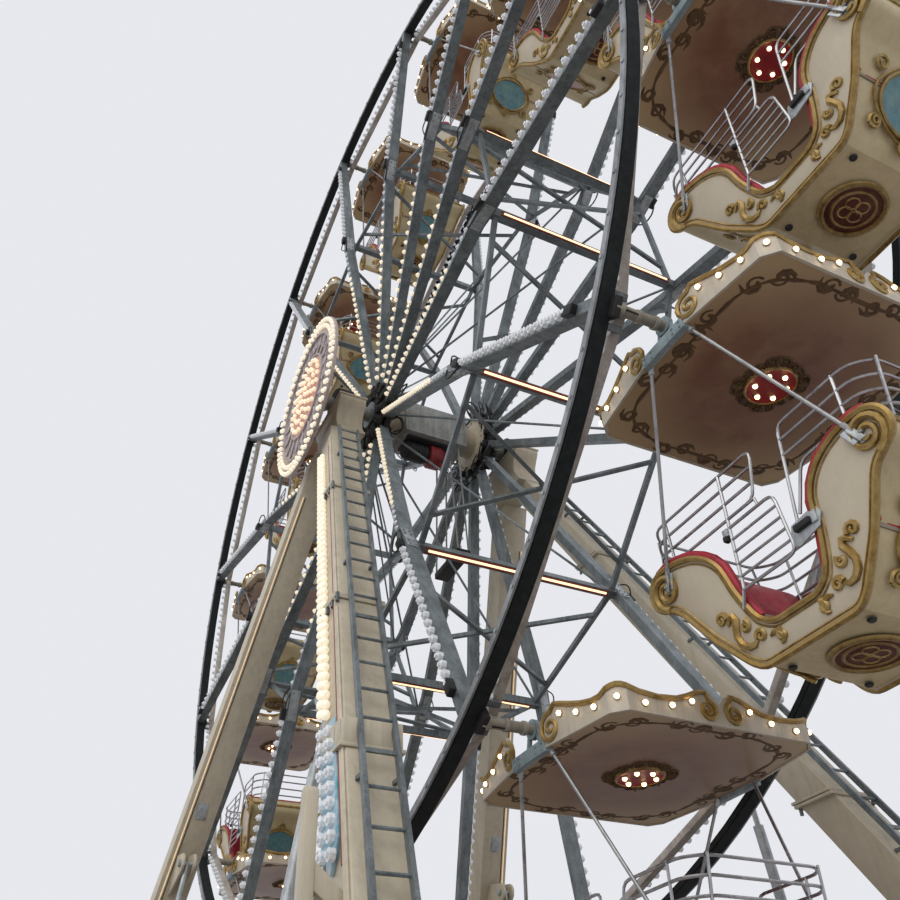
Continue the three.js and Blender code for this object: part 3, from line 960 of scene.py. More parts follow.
# Gold: the paler worn tone on the edges is partly wear and partly a painted highlight, and the full-strength corner
# darkening is a painted shade.
GOLD = Paint(
    "gold_leaf_moulding", (0.36, 0.21, 0.04), (0.2, 0.11, 0.022), (0.03, 0.017, 0.006), (0.6, 0.44, 0.17), dirt_and_shade=1.0,
    streaking=0.4, wear=0.7, rough=0.3, metal=0.5, coat=0.0, patch_scale=12.0, streak_scale=30.0
)
RED_ENAMEL = Paint(
    "rosette_red_enamel", (0.3, 0.006, 0.012), (0.2, 0.004, 0.009), (0.05, 0.006, 0.006), (0.4, 0.06, 0.05),
    rough=0.35, coat=0.1, patch_scale=10.0, shine=0.25
)
BRACKET = Zinc(
    "bracket_pale_blue_steel", (0.32, 0.4, 0.42), (0.2, 0.27, 0.29), (0.08, 0.09, 0.09), crystal=60.0, metal=0.25
)
SHELL = Paint(
    "tub_shell_gelcoat", (0.58, 0.48, 0.27), (0.5, 0.4, 0.21), (0.2, 0.14, 0.07), (0.64, 0.56, 0.38), rough=0.4,
    dirt_and_shade=0.25, streaking=0.15, patch_scale=2.6, streak_scale=18.0, grain=0.0003
)
WELL = Paint(
    "foot_well_paint", (0.3, 0.24, 0.17), (0.22, 0.17, 0.12), (0.08, 0.06, 0.04), (0.4, 0.34, 0.26), rough=0.6,
    patch_scale=6.0
)
MEDALLION = Paint(
    "medallion_dark_red_enamel", (0.11, 0.012, 0.012), (0.07, 0.01, 0.009), (0.03, 0.01, 0.008), (0.3, 0.14, 0.06),
    rough=0.45, coat=0.05, patch_scale=16.0, shine=0.25
)
FIELD_BLUE = Paint(
    "end_field_blue_green_paint", (0.04, 0.21, 0.31), (0.09, 0.25, 0.22), (0.03, 0.06, 0.07), (0.3, 0.35, 0.3),
    rough=0.4, coat=0.1, patch_scale=6.0
)
FIELD_RED = Paint(
    "end_field_red_paint", (0.27, 0.05, 0.035), (0.36, 0.14, 0.06), (0.07, 0.02, 0.02), (0.4, 0.25, 0.15), rough=0.3,
    coat=0.4, patch_scale=6.0
)
BLACK = Paint(
    "black_plastic", (0.008, 0.008, 0.009), (0.014, 0.014, 0.015), (0.03, 0.028, 0.025), (0.045, 0.045, 0.045),
    rough=0.45, coat=0.05, patch_scale=20.0, shine=0.3
)
VINYL = Vinyl("red_seat_vinyl")
ZINC_BRIGHT = Zinc(
    "fork_bright_zinc", (0.5, 0.53, 0.54), (0.34, 0.37, 0.39), (0.12, 0.11, 0.09), crystal=12.0, metal=0.5, rough=0.4
)
STAINLESS = Zinc(
    "rail_polished_steel", (0.46, 0.46, 0.47), (0.34, 0.34, 0.35), (0.1, 0.085, 0.07), crystal=4.0, metal=0.85,
    rough=0.32, dirt_and_shade=0.2
)
ROD_STEEL = Zinc(
    "rod_steel", (0.4, 0.4, 0.4), (0.28, 0.28, 0.285), (0.12, 0.1, 0.08), crystal=4.0, metal=0.7, rough=0.36, dirt_and_shade=0.2
)
HOLDER = Paint(
    "lamp_holder_plastic", (0.42, 0.38, 0.3), (0.34, 0.3, 0.23), (0.12, 0.09, 0.06), (0.5, 0.46, 0.4), rough=0.4,
    patch_scale=20.0
)
LIT_BULB = Glass("lit_globe_glass", (0.9, 0.8, 0.65), (1.0, 0.66, 0.34), 7.0)
# The unlit caps glow faintly and coolly: a painted brightness, as they are not lit.
UNLIT_CAP_PAINTED_GLOW = Glass("unlit_cap_glass_painted_glow", (0.74, 0.76, 0.78), (0.9, 0.95, 1.0), 0.12, 0.3)
LIT_CAP = Glass("lit_cap_glass", (0.8, 0.74, 0.62), (1.0, 0.85, 0.62), 0.62, 0.3)
LIT_GLOBE = Glass("lit_cream_globe_glass", (0.78, 0.72, 0.6), (1.0, 0.88, 0.66), 0.62, 0.3)
ROSE_GLOBE = Glass("lit_rose_globe_glass", (0.8, 0.7, 0.55), (1.0, 0.83, 0.58), 0.66, 0.3)
CEILING = CeilingPaint("ceiling_mauve_gelcoat")
FLANGE = Zinc(
    "rim_flange_steel", (0.36, 0.38, 0.4), (0.22, 0.24, 0.25), (0.09, 0.075, 0.055), crystal=60.0, metal=0.5
)
STUB = Paint(
    "stub_axle_tan_paint", (0.38, 0.35, 0.28), (0.27, 0.24, 0.19), (0.06, 0.05, 0.035), (0.48, 0.45, 0.38), rough=0.5,
    patch_scale=9.0
)
HUB_BLACK = Paint(
    "hub_black_grease", (0.01, 0.011, 0.011), (0.02, 0.02, 0.018), (0.04, 0.034, 0.025), (0.07, 0.07, 0.07),
    rough=0.6, wear=0.4, coat=0.0, patch_scale=10.0, shine=0.25
)
GIRDER = Zinc(
    "girder_weathered_zinc", (0.33, 0.34, 0.32), (0.21, 0.22, 0.205), (0.09, 0.08, 0.06), crystal=30.0, metal=0.25
)
MOTOR_RED = Paint(
    "drive_unit_red_paint", (0.25, 0.006, 0.012), (0.17, 0.005, 0.009), (0.05, 0.01, 0.01), (0.35, 0.1, 0.08),
    rough=0.4, patch_scale=10.0, shine=0.3
)
SIGN_RELIEF = Paint(
    "sign_lilac_cream_relief", (0.4, 0.36, 0.39), (0.34, 0.26, 0.27), (0.1, 0.075, 0.07), (0.6, 0.56, 0.54), dirt_and_shade=0.8,
    wear=0.6, rough=0.4, patch_scale=8.0
)
# The boss's bright orange-pink is partly its own coral paint and partly the painted glow of the lamps around it.
SIGN_ROSE = Paint(
    "sign_rose_boss_painted_glow", (0.66, 0.25, 0.18), (0.55, 0.33, 0.2), (0.2, 0.07, 0.05), (0.75, 0.5, 0.4), rough=0.4,
    patch_scale=8.0
)
BOARD_BLUE = Paint(
    "leg_board_blue_paint", (0.03, 0.3, 0.42), (0.5, 0.6, 0.66), (0.1, 0.15, 0.17), (0.6, 0.65, 0.7), rough=0.35,
    patch_scale=7.0
)
LIGHT_LINE = Glass("light_line_diffuser", (0.9, 0.8, 0.6), (1.0, 0.66, 0.36), 1.9)
SOFT_LINE = Glass("soft_line_diffuser", (0.6, 0.5, 0.36), (1.0, 0.68, 0.36), 0.6)
RED_LINE = Paint(
    "red_line_plastic", (0.25, 0.02, 0.015), (0.17, 0.012, 0.01), (0.05, 0.015, 0.01), (0.35, 0.1, 0.08), rough=0.4,
    patch_scale=12.0
)


# The photographer's place, the light and the floor


@dataclass
class Stage:
    """The camera, the soft light and the pale floor."""

    yaw: float = 1.08356587
    pitch: float = 0.697749217
    roll: float = -0.0483670221
    spot: Point = (9.43232, -4.62726, 1.61266)
    lens: float = 35.5555
    sensor: float = 36.0
    floor_half: float = 30.0
    sky: Tone = (0.8, 0.81, 0.85)

    def camera(self) -> None:
        """Stands the camera where the photograph was taken from."""
        forward = Vector((
            -sin(self.yaw) * cos(self.pitch),
            cos(self.yaw) * cos(self.pitch),
            sin(self.pitch),
        ))
        level = forward.cross(Vector((0, 0, 1))).normalized()
        upright = level.cross(forward)
        right = level * cos(self.roll) + upright * sin(self.roll)
        up = -level * sin(self.roll) + upright * cos(self.roll)
        bpy.ops.object.camera_add()
        camera = bpy.context.object
        camera.name = "photo_camera"
        turn = Matrix((right, up, -forward)).transposed().to_4x4()
        camera.matrix_world = Matrix.Translation(self.spot) @ turn
        camera.data.lens = self.lens
        camera.data.sensor_width = self.sensor
        camera.data.clip_end = 200.0
        bpy.context.scene.camera = camera

    def light(self) -> None:
        """Lights the wheel as on a dull evening."""
        world = bpy.data.worlds.new("dull_evening_sky")
        bpy.context.scene.world = world
        world.use_nodes = True
        w = Wiring(world.node_tree)
        sky = w.node("ShaderNodeBackground", {"Color": self.sky, "Strength": 1.0})
        w.node("ShaderNodeOutputWorld", {"Surface": sky.outputs[0]})
        bpy.ops.object.light_add(type="SUN", rotation=(radians(48), 0, radians(40)))
        sun = bpy.context.object
        sun.name = "soft_daylight"
        sun.data.energy = 1.1
        sun.data.angle = radians(50)
        sun.data.color = (1.0, 0.97, 0.93)
        bpy.context.scene.view_settings.view_transform = "Standard"

    def floor(self) -> None:
        """Lays the pale floor."""
        deselect()
        bpy.ops.mesh.primitive_plane_add(size=2 * self.floor_half)
        floor = bpy.context.object
        floor.name = "pale_floor"
        finish = Paint(
            "pale_floor_finish", (0.42, 0.4, 0.4), (0.38, 0.36, 0.36), (0.34, 0.33, 0.33), dirt_and_shade=0.0, streaking=0.1,
            wear=0.0, rough=0.8, coat=0.0, patch_scale=0.4
        )
        dress(floor, finish)
        floor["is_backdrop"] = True

    def build(self) -> None:
        """Builds all of it."""
        self.camera()
        self.light()
        self.floor()


# Gondola, built once about its pivot and copied to the fourteen stations


class Part(Enum):
    """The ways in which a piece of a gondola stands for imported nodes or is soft."""

    PLAIN = "plain"
    CANOPY = "canopy"
    TUB = "tub"
    PAD = "pad"


@dataclass
class Dressed:
    """One piece of a gondola with its part and material slot."""

    piece: Piece
    part: Part = Part.PLAIN
    slot: str = ""


@dataclass
class Canopy:
    """Fascia, crest moulding, ceiling, roof, rosette and lamps of a canopy."""

    bracket: tuple[float, float] = (0.25, 1.035)
    corner: tuple[float, float] = (0.945, 0.935)
    side: tuple[float, float] = (1.05, 0.835)
    ceiling: float = -0.235
    board: float = 0.022
    moulding: float = 0.023
    crest_bracket: tuple = (
        (0.0, 0.07), (0.004, 0.16), (0.03, 0.22), (0.1, 0.285), (0.2, 0.28), (0.3, 0.255), (0.46, 0.21), (0.62, 0.17),
        (0.78, 0.145), (0.9, 0.145), (1.0, 0.175)
    )
    crest_corner: tuple = ((0.25, 0.19), (0.5, 0.197), (0.75, 0.19), (1.0, 0.172))
    crest_side: tuple = (
        (0.06, 0.145), (0.16, 0.13), (0.26, 0.145), (0.32, 0.18), (0.38, 0.225), (0.43, 0.24), (0.465, 0.225),
        (0.49, 0.18), (0.5, 0.165)
    )
    lamp: float = 0.021

    def quarter(self) -> list[Vector]:
        """Gives the crest of the quarter between one bracket and the middle of a side.

        Returns:
            The points of the crest.
        """
        far = (self.side[0], -self.side[1])
        made = []
        for start, end, heights in (
            (self.bracket, self.corner, self.crest_bracket),
            (self.corner, self.side, self.crest_corner),
            (self.side, far, self.crest_side),
        ):
            for share, height in heights:
                x = start[0] + share * (end[0] - start[0])
                y = start[1] + share * (end[1] - start[1])
                made.append(Vector((x, y, self.ceiling + height)))
        return made

    def around(self) -> list[Vector]:
        """Gives the crest all the way round the canopy.

        Returns:
            The points of the crest, as a closed ring.
        """
        right = self.quarter()
        right += [Vector((p.x, -p.y, p.z)) for p in reversed(right[:-1])]
        return right + [Vector((-p.x, p.y, p.z)) for p in reversed(right)]

    def fascia(self) -> Piece:
        """Bends the board with its wavy crest round the canopy.

        Returns:
            The board.
        """
        crest = self.around()
        piece = outline("fascia", [(p.x, p.y, self.ceiling - 0.006) for p in crest], filled=False)
        drawn_out(piece, (0, 0, 0.1))
        for corner, top in zip(list(piece.data.vertices)[len(crest):], crest):
            corner.co = top
        thicken(piece, self.board)
        return dress(smooth(weld(piece), 25), FASCIA)

    def ceiling_board(self) -> Piece:
        """Lays the ceiling with its own map for the painted clouds.

        Returns:
            The ceiling.
        """
        inset = 1 - self.board / self.bracket[1]
        points = [(p.x * inset, p.y * inset, self.ceiling) for p in self.around()]
        piece = plate("ceiling", points, (0, 0, 0.018))
        layer = piece.data.uv_layers.new(name="over_the_ceiling")
        for loop in piece.data.loops:
            spot = piece.data.vertices[loop.vertex_index].co
            layer.data[loop.index].uv = (spot.x, spot.y)
        return dress(piece, CEILING)

    def roof(self) -> Piece:
        """Raises the low roof behind the fascia.

        Returns:
            The roof.
        """
        inset = 1 - 1.4 * self.board / self.bracket[1]
        piece = outline("roof", [(p.x * inset, p.y * inset, self.ceiling + 0.05) for p in self.around()])
        with editing(piece):
            bpy.ops.mesh.extrude_region_move(TRANSFORM_OT_translate={"value": (0, 0, 0.09)})
            bpy.ops.transform.resize(value=(0.5, 0.5, 1), center_override=(0, 0, self.ceiling))
            bpy.ops.mesh.poke()
        piece.data.vertices[-1].co.z += 0.05
        return dress(smooth(weld(piece), 12), ROOF)

    def crest_moulding(self) -> Piece:
        """Runs the gold moulding along the crest, with a volute at each end.

        Returns:
            The moulding.
        """
        bars = []
        quarter = self.quarter()
        along_bracket = Vector((self.corner[0] - self.bracket[0], self.corner[1] - self.bracket[1], 0)).normalized()
        up = Vector((0, 0, 1))
        eye = Vector((self.bracket[0], self.bracket[1], self.ceiling + 0.112)) + along_bracket * 0.075
        curl = spiral(eye, along_bracket, up, radians(80), 1.75, (0.128, 0.012))
        side_eye = Vector((self.side[0], 0.125, self.ceiling + 0.1))
        side_curl = spiral(side_eye, Vector((0, -1, 0)), up, radians(75), -1.75, (0.09, 0.014))
        crest = quarter[4:-3]
        path = [*reversed(curl), *crest, *side_curl]
        shares = [0.7 + 0.3 * i / (len(curl) - 1) for i in range(len(curl))]
        taper = [*shares, *([1.0] * len(crest)), *reversed(shares)]
        bar = bent_bar("crest", path, self.moulding, 6, taper=taper)
        for sign_x, sign_y in ((1, 1), (-1, 1), (1, -1), (-1, -1)):
            bars.append(moved_copy(bar, "crest", Matrix.Diagonal((sign_x, sign_y, 1, 1))))
        drop(bar)
        piece = joined("crest_moulding", bars)
        return dress(piece, GOLD)

    def brackets(self) -> Piece:
        """Builds the galvanised channels, with the plates that hang on the stub axles.

        Returns:
            The channels and plates, as one piece.
        """
        pieces = []
        for side in (-1, 1):
            y = side * (self.bracket[1] + 0.012)
            back = y - side * 0.06
            pieces.append(block("channel", (-0.245, y, -0.268), (0.245, back, -0.165), 0.006))
            middle = side * 0.97
            pieces.append(
                turned("eye", square(0.047, 0.08, middle - 0.02, middle + 0.02), (0, 0, 0), "Y", 18, closed=True)
            )
            for x in (-1, 1):
                strap = [(0.04, -0.055), (0.077, -0.02), (0.135, -0.21), (0.095, -0.21)]
                pieces.append(
                    plate("strap", [(x * sx, middle - 0.012, sz) for sx, sz in strap], (0, 0.024, 0), 0.003)
                )
                foot = (x * 0.115 - 0.02, side * 0.955, -0.228), (x * 0.115 + 0.02, back, -0.19)
                pieces.append(block("foot", *foot, 0.003))
            bolt = block("bolt", (-0.012, 0, 0), (0.012, 0.02, 0.02))
            places = [
                Matrix.Translation((x, y - (0.012 if side > 0 else 0.008), z))
                for x in (-0.21, -0.13, 0.13, 0.21) for z in (-0.25, -0.2)
            ]
            pieces.append(strewn("bolts", bolt, places))
        return dress(joined("brackets", pieces), BRACKET)

    def garland(self) -> Piece:
        """Draws the scrolled garland round the ceiling.

        Returns:
            The garland.
        """
        corners = [(0.3, 0.865), (0.62, 0.85), (0.80, 0.745), (0.88, 0.6), (0.945, 0.38), (0.93, 0.13)]
        quarter = rounded([(x, y, self.ceiling) for x, y in corners], 0.1, 3)
        half = [*quarter, *[Vector((p.x, -p.y, p.z)) for p in reversed(quarter)]]
        ring = [*half, *[Vector((-p.x, p.y, p.z)) for p in reversed(half)]]
        width = [1.0 + 0.35 * sin(1.9 * i) for i in range(len(ring))]
        pieces = [bent_bar("vine", ring, 0.016, 4, closed=True, taper=width)]
        across, along = Vector((1, 0, 0)), Vector((0, 1, 0))
        spots = [
            (0.36, 0.9, 0.2), (0.2, 0.87, 3.0), (0.74, 0.8, -0.4), (0.86, 0.66, 2.4), (0.955, 0.3, -1.2),
            (0.935, 0.14, 1.9), (0.0, 0.865, 1.5)
        ]
        for x, y, turn in spots:
            for sign_x in (-1, 1):
                for sign_y in (-1, 1):
                    eye = (sign_x * x, sign_y * y, self.ceiling)
                    flip = sign_x * sign_y
                    curl = spiral(eye, across * sign_x, along * sign_y, turn, 1.1, (0.072, 0.016), 12)
                    pieces.append(bent_bar("curl", curl, 0.017, 4, taper=[0.6 + 0.045 * i for i in range(13)]))
                    leaf = spiral(eye, across * sign_x, along * sign_y, turn + 2.4, -0.55 * flip, (0.11, 0.035), 5)
                    pieces.append(bent_bar("leaf", leaf, 0.022, 4, taper=[0.2, 0.8, 1.1, 1.0, 0.7, 0.3]))
        piece = joined("garland", pieces)
        flatten(piece, self.ceiling, 0.25)
        return dress(piece, GARLAND)

    def rosette(self) -> tuple[Piece, Piece]:
        """Turns the red dish in the middle of the ceiling with its gold ring and leaves.

        Returns:
            The dish, and the gold round it.
        """
        low = self.ceiling
        dish = turned(
            "dish", [(0.0, -0.014), (0.14, -0.012), (0.19, -0.02), (0.195, 0.0), (0.0, 0.0)], (0, 0, low), "Z", 32,
            closed=True
        )
        ring = turned(
            "ring", [(0.188, 0.0), (0.191, -0.024), (0.199, -0.028), (0.209, -0.02), (0.216, 0.0)], (0, 0, low), "Z",
            32, closed=True
        )
        leaves = []
        for eighth in range(8):
            size = 1.0 if eighth % 2 else 0.9
            turn = Matrix.Rotation(eighth * pi / 4 + radians(18), 4, "Z") @ Matrix.Scale(size, 4)
            turn = turn @ Matrix.Translation((0, 0, low * (1 / size - 1)))
            for flip in (-1, 1):
                curl = spiral(
                    (0.247, flip * 0.052, low), Vector((1, 0, 0)), Vector((0, flip, 0)), -0.6, 1.2, (0.058, 0.012), 9
                )
                leaf = bent_bar("leaf", curl, 0.024, 4, taper=[0.6 + 0.05 * i for i in range(10)])
                leaf.data.transform(turn)
                leaves.append(leaf)
            tip = bent_bar(
                "tip", [(0.22, 0, low), (0.275, 0, low - 0.006), (0.315, 0, low)], 0.032, 4, taper=[0.9, 1.1, 0.2]
            )
            tip.data.transform(turn)
            leaves.append(tip)
        frame_piece = joined("rosette_frame", [dress(ring, GOLD), *[dress(leaf, GARLAND) for leaf in leaves]])
        return dress(dish, RED_ENAMEL), frame_piece

    def lamps(self) -> tuple[Piece, Piece]:
        """Sets lit globes along the fascia and in the rosette, each in a small holder.

        Returns:
            The globes, and their holders.
        """
        spots = []
        board = Vector((self.corner[0] - self.bracket[0], self.corner[1] - self.bracket[1], 0))
        out = Vector((-board.y, board.x, 0)).normalized()
        out = out if out.y > 0 else -out
        for share, height in ((0.29, 0.18), (0.55, 0.12), (0.82, 0.085)):
            spots.append((Vector((*self.bracket, 0)) + board * share + Vector((0, 0, self.ceiling + height)), out))
        middle = Vector(
            ((self.corner[0] + self.side[0]) / 2, (self.corner[1] + self.side[1]) / 2, self.ceiling + 0.1)
        )
        spots.append((middle, Vector((1, 1, 0)).normalized()))
        for y, height in ((0.7, 0.06), (0.46, 0.08), (0.27, 0.14)):
            spots.append((Vector((self.side[0], y, self.ceiling + height)), Vector((1, 0, 0))))
        places = []
        for spot, outward in spots:
            for sign in (Vector((1, 1, 1)), Vector((-1, 1, 1)), Vector((1, -1, 1)), Vector((-1, -1, 1))):
                places.append(facing(spot * sign, outward * sign))
        for step in range(6):
            angle = radians(12 + 60 * step)
            places.append(facing((0.132 * cos(angle), 0.132 * sin(angle), self.ceiling - 0.012), (0, 0, -1)))
        return globes("canopy_lamps", self.lamp, places, LIT_BULB), holders(
            "canopy_lamp_holders", self.lamp * 1.15, 0.012, places
        )

    def build(self) -> list[Dressed]:
        """Builds the whole canopy.

        Returns:
            Its pieces.
        """
        dish, ring = self.rosette()
        lamps, sockets = self.lamps()
        return [
            Dressed(self.fascia(), Part.CANOPY, "canopy_paint"),
            Dressed(self.ceiling_board()),
            Dressed(self.roof()),
            Dressed(self.crest_moulding()),
            Dressed(self.brackets(), slot="galvanised_steel"),
            Dressed(self.garland()),
            Dressed(dish),
            Dressed(ring),
            Dressed(lamps),
            Dressed(sockets),
        ]


def flatten(piece: Piece, level: float, keep: float) -> None:
    """Presses a piece against a level surface above it, so that it keeps a share of its thickness."""
    for corner in piece.data.vertices:
        corner.co.z = level + (corner.co.z - level) * keep


def globes(name: str, radius: float, places: Sequence[Matrix], finish: Finish) -> Piece:
    """Lit lamp globes, squashed a little towards their holders.

    Args:
        name: the piece's name.
        radius: a globe's radius, in metres.
        places: where the lamps stand.
        finish: the finish of the glass.

    Returns:
        All the globes as one piece.
    """
    deselect()
    bpy.ops.mesh.primitive_uv_sphere_add(
        segments=8, ring_count=5, radius=radius, location=(0, 0, radius * 0.9), scale=(1, 1, 0.85)
    )
    return strewn(name, dress(settle(newest("globe")), finish), places)


def caps(name: str, radius: float, height: float, places: Sequence[Matrix], finish: Finish) -> Piece:
    """Ribbed lamp caps with a domed top.

    Args:
        name: the piece's name.
        radius: a cap's radius, in metres.
        height: its height, in metres.
        places: where the caps stand.
        finish: the finish of the glass.

    Returns:
        All the caps as one piece.
    """
    deselect()
    bpy.ops.mesh.primitive_cylinder_add(
        vertices=8, radius=radius, depth=height * 0.7, location=(0, 0, height * 0.35), end_fill_type="NGON"
    )
    cap = newest("cap")
    pick(cap)
    for polygon in cap.data.polygons:
        polygon.select = polygon.normal.z > 0.9
    bpy.ops.object.mode_set(mode="EDIT")
    bpy.ops.mesh.select_mode(type="FACE")
    bpy.ops.mesh.extrude_region_move(TRANSFORM_OT_translate={"value": (0, 0, height * 0.3)})
    bpy.ops.transform.resize(value=(0.5, 0.5, 1))
    bpy.ops.mesh.select_mode(type="VERT")
    bpy.ops.object.mode_set(mode="OBJECT")
    return strewn(name, dress(settle(cap), finish), places)


def holders(name: str, radius: float, height: float, places: Sequence[Matrix]) -> Piece:
    """Small flared holders under the lamps.

    Args:
        name: the piece's name.
        radius: a holder's radius, in metres.
        height: its height, in metres.
        places: where the lamps stand.

    Returns:
        All the holders as one piece.
    """
    deselect()
    bpy.ops.mesh.primitive_cone_add(
        vertices=7, radius1=radius * 1.15, radius2=radius, depth=height, location=(0, 0, height / 2)
    )
    return strewn(name, dress(settle(newest("holder")), HOLDER), places)


@dataclass
class Tub:
    """The tub: shell, side panels, gold mouldings, medallion, end fields, seats and linings."""

    floor_width: float = 0.48
    floor_height: float = -2.53
    flare: float = 0.16 / 0.83
    panel: float = 0.03
    edge: tuple = (
        (0.19, -2.335), (0.3, -2.262), (0.345, -2.16), (0.39, -2.035), (0.428, -1.835), (0.48, -1.75), (0.545, -1.69),
        (0.62, -1.643), (0.7, -1.612), (0.8, -1.586), (0.9, -1.575), (1.0, -1.58), (1.065, -1.61), (1.108, -1.66),
        (1.122, -1.72), (1.112, -1.775), (1.075, -1.823), (0.985, -1.867), (0.93, -1.897), (0.885, -1.94),
        (0.7, -2.225), (0.475, -2.49), (0.385, -2.547),
    )
    skin: tuple = (
        (0.93, -1.583), (1.03, -1.597), (1.085, -1.645), (1.1, -1.72), (1.085, -1.775), (1.05, -1.82), (0.97, -1.862),
        (0.9, -1.908), (0.868, -1.945), (0.683, -2.228), (0.462, -2.48), (0.38, -2.532)
    )

    def half_width(self, z: float) -> float:
        """Gives half the tub's width at a height."""
        return self.floor_width + (z - self.floor_height) * self.flare

    def ring(self) -> list[tuple[float, float]]:
        """Gives the whole side outline."""
        return [*self.edge, *[(-x, z) for x, z in reversed(self.edge)]]

    def side_panels(self) -> Piece:
        """Cuts the two side panels, which lean outwards.

        Returns:
            Both panels, as one piece.
        """
        panels = []
        for side in (-1, 1):
            points = [(x, side * (self.half_width(z) - self.panel), z) for x, z in self.ring()]
            panels.append(plate("panel", points, (0, side * self.panel, 0), 0.004))
        return dress(joined("side_panels", panels), TUB)

    def trough(self, name: str, path: Sequence[tuple[float, float]], inset: float, wall: float) -> Piece:
        """Draws an open sheet from the front panel to the rear one.

        Args:
            name: its name.
            path: the place across and the height of each corner of its section.
            inset: how far inside the tub's width it ends, in metres.
            wall: its thickness, in metres.

        Returns:
            The sheet.
        """
        piece = outline(name, [(x, inset - self.half_width(z), z) for x, z in path], filled=False)
        open_chain(piece)
        drawn_out(piece, (0, 1, 0))
        for corner, (x, z) in zip(list(piece.data.vertices)[len(path):], path):
            corner.co = (x, self.half_width(z) - inset, z)
        return smooth(weld(thicken(piece, wall)), 30)

    def shell(self) -> Piece:
        """Wraps the outer skin round the ends and under the floor."""
        path = [*self.skin, *[(-x, z) for x, z in reversed(self.skin)]]
        return dress(self.trough("tub_shell", path, 0.012, 0.026), SHELL)

    def edge_mouldings(self) -> Piece:
        """Bends the broad gold moulding round each side panel, with a thin bead inside it.

        Returns:
            The mouldings and the beads, as one piece.
        """
        bars = []
        for side in (-1, 1):
            broad = [(x, side * (self.half_width(z) + 0.002), z) for x, z in self.ring()]
            bars.append(bent_bar("moulding", rounded(broad, 0.05, 2, closed=True), 0.024, 6, closed=True))
            inside = [(x, side * (self.half_width(z) + 0.001), z) for x, z in shifted(self.ring(), 0.037)]
            bars.append(bent_bar("bead", rounded(inside, 0.04, 2, closed=True), 0.008, 4, closed=True))
            for sign in (-1, 1):
                y = side * (self.half_width(-1.74) + 0.012)
                lean = Vector((0, side * self.flare, 1)).normalized()
                curl = spiral(
                    (sign * 0.952, y, -1.728), Vector((sign, 0, 0)), lean, radians(-80), 2.1, (0.142, 0.018), 30
                )
                bars.append(bent_bar("volute", curl, 0.03, 6, taper=[1.0 - 0.5 * i / 30 for i in range(31)]))
                roll = [(sign * 1.1, -(self.half_width(-1.7)), -1.7), (sign * 1.1, self.half_width(-1.7), -1.7)]
                if side > 0:
                    bars.append(bent_bar("roll", roll, 0.022, 6))
        return dress(joined("edge_mouldings", bars), GOLD)

    def lying(self, x: float, z: float, side: int, proud: float = 0.0) -> Vector:
        """Gives the point of a side panel at a place of its outline.

        Args:
            x: the distance from the middle.
            z: the height.
            side: minus one at the front.
            proud: how far it stands out, in metres.

        Returns:
            The point.
        """
        return Vector((x, side * (self.half_width(z) + proud), z))

    def scrollwork(self) -> Piece:
        """Lays the gold scrolls on the side panels.

        Returns:
            The scrolls, as one piece.
        """
        bars = []
        for side in (-1, 1):
            for sign in (-1, 1):
                lean = Vector((0, side * self.flare, 1)).normalized()
                across = Vector((sign, 0, 0))
                body = [
                    (0.555, -2.19), (0.52, -2.16), (0.487, -2.155), (0.475, -2.19), (0.5, -2.24), (0.515, -2.29),
                    (0.5, -2.345), (0.455, -2.385), (0.405, -2.392), (0.37, -2.37)
                ]
                path = [self.lying(sign * x, z, side, 0.004) for x, z in body]
                bars.append(
                    bent_bar("scroll", path, 0.029, 6, taper=[0.45, 0.8, 1.0, 1.05, 1.0, 0.95, 1.0, 0.95, 0.75, 0.45])
                )
                for x, z, start, turns, size in (
                    (0.585, -2.135, 3.4, -1.3, 0.05), (0.333, -2.36, 0.0, 1.3, 0.045),
                    (0.425, -2.255, 2.0, 1.2, 0.04), (0.175, -2.425, 1.8, -1.2, 0.04),
                ):
                    eye = self.lying(sign * x, z, side, 0.004)
                    curl = spiral(eye, across, lean, start, turns, (size, 0.008), 12)
                    bars.append(bent_bar("curl", curl, 0.022, 6, taper=[1.0 - 0.03 * i for i in range(13)]))
                tail = [(0.27, -2.395), (0.235, -2.385), (0.2, -2.397), (0.17, -2.43), (0.185, -2.465), (0.21, -2.47)]
                path = [self.lying(sign * x, z, side, 0.004) for x, z in tail]
                bars.append(bent_bar("tail", path, 0.021, 6, taper=[0.4, 0.9, 1.0, 1.1, 0.8, 0.4]))
        return dress(joined("scrollwork", bars), GOLD)

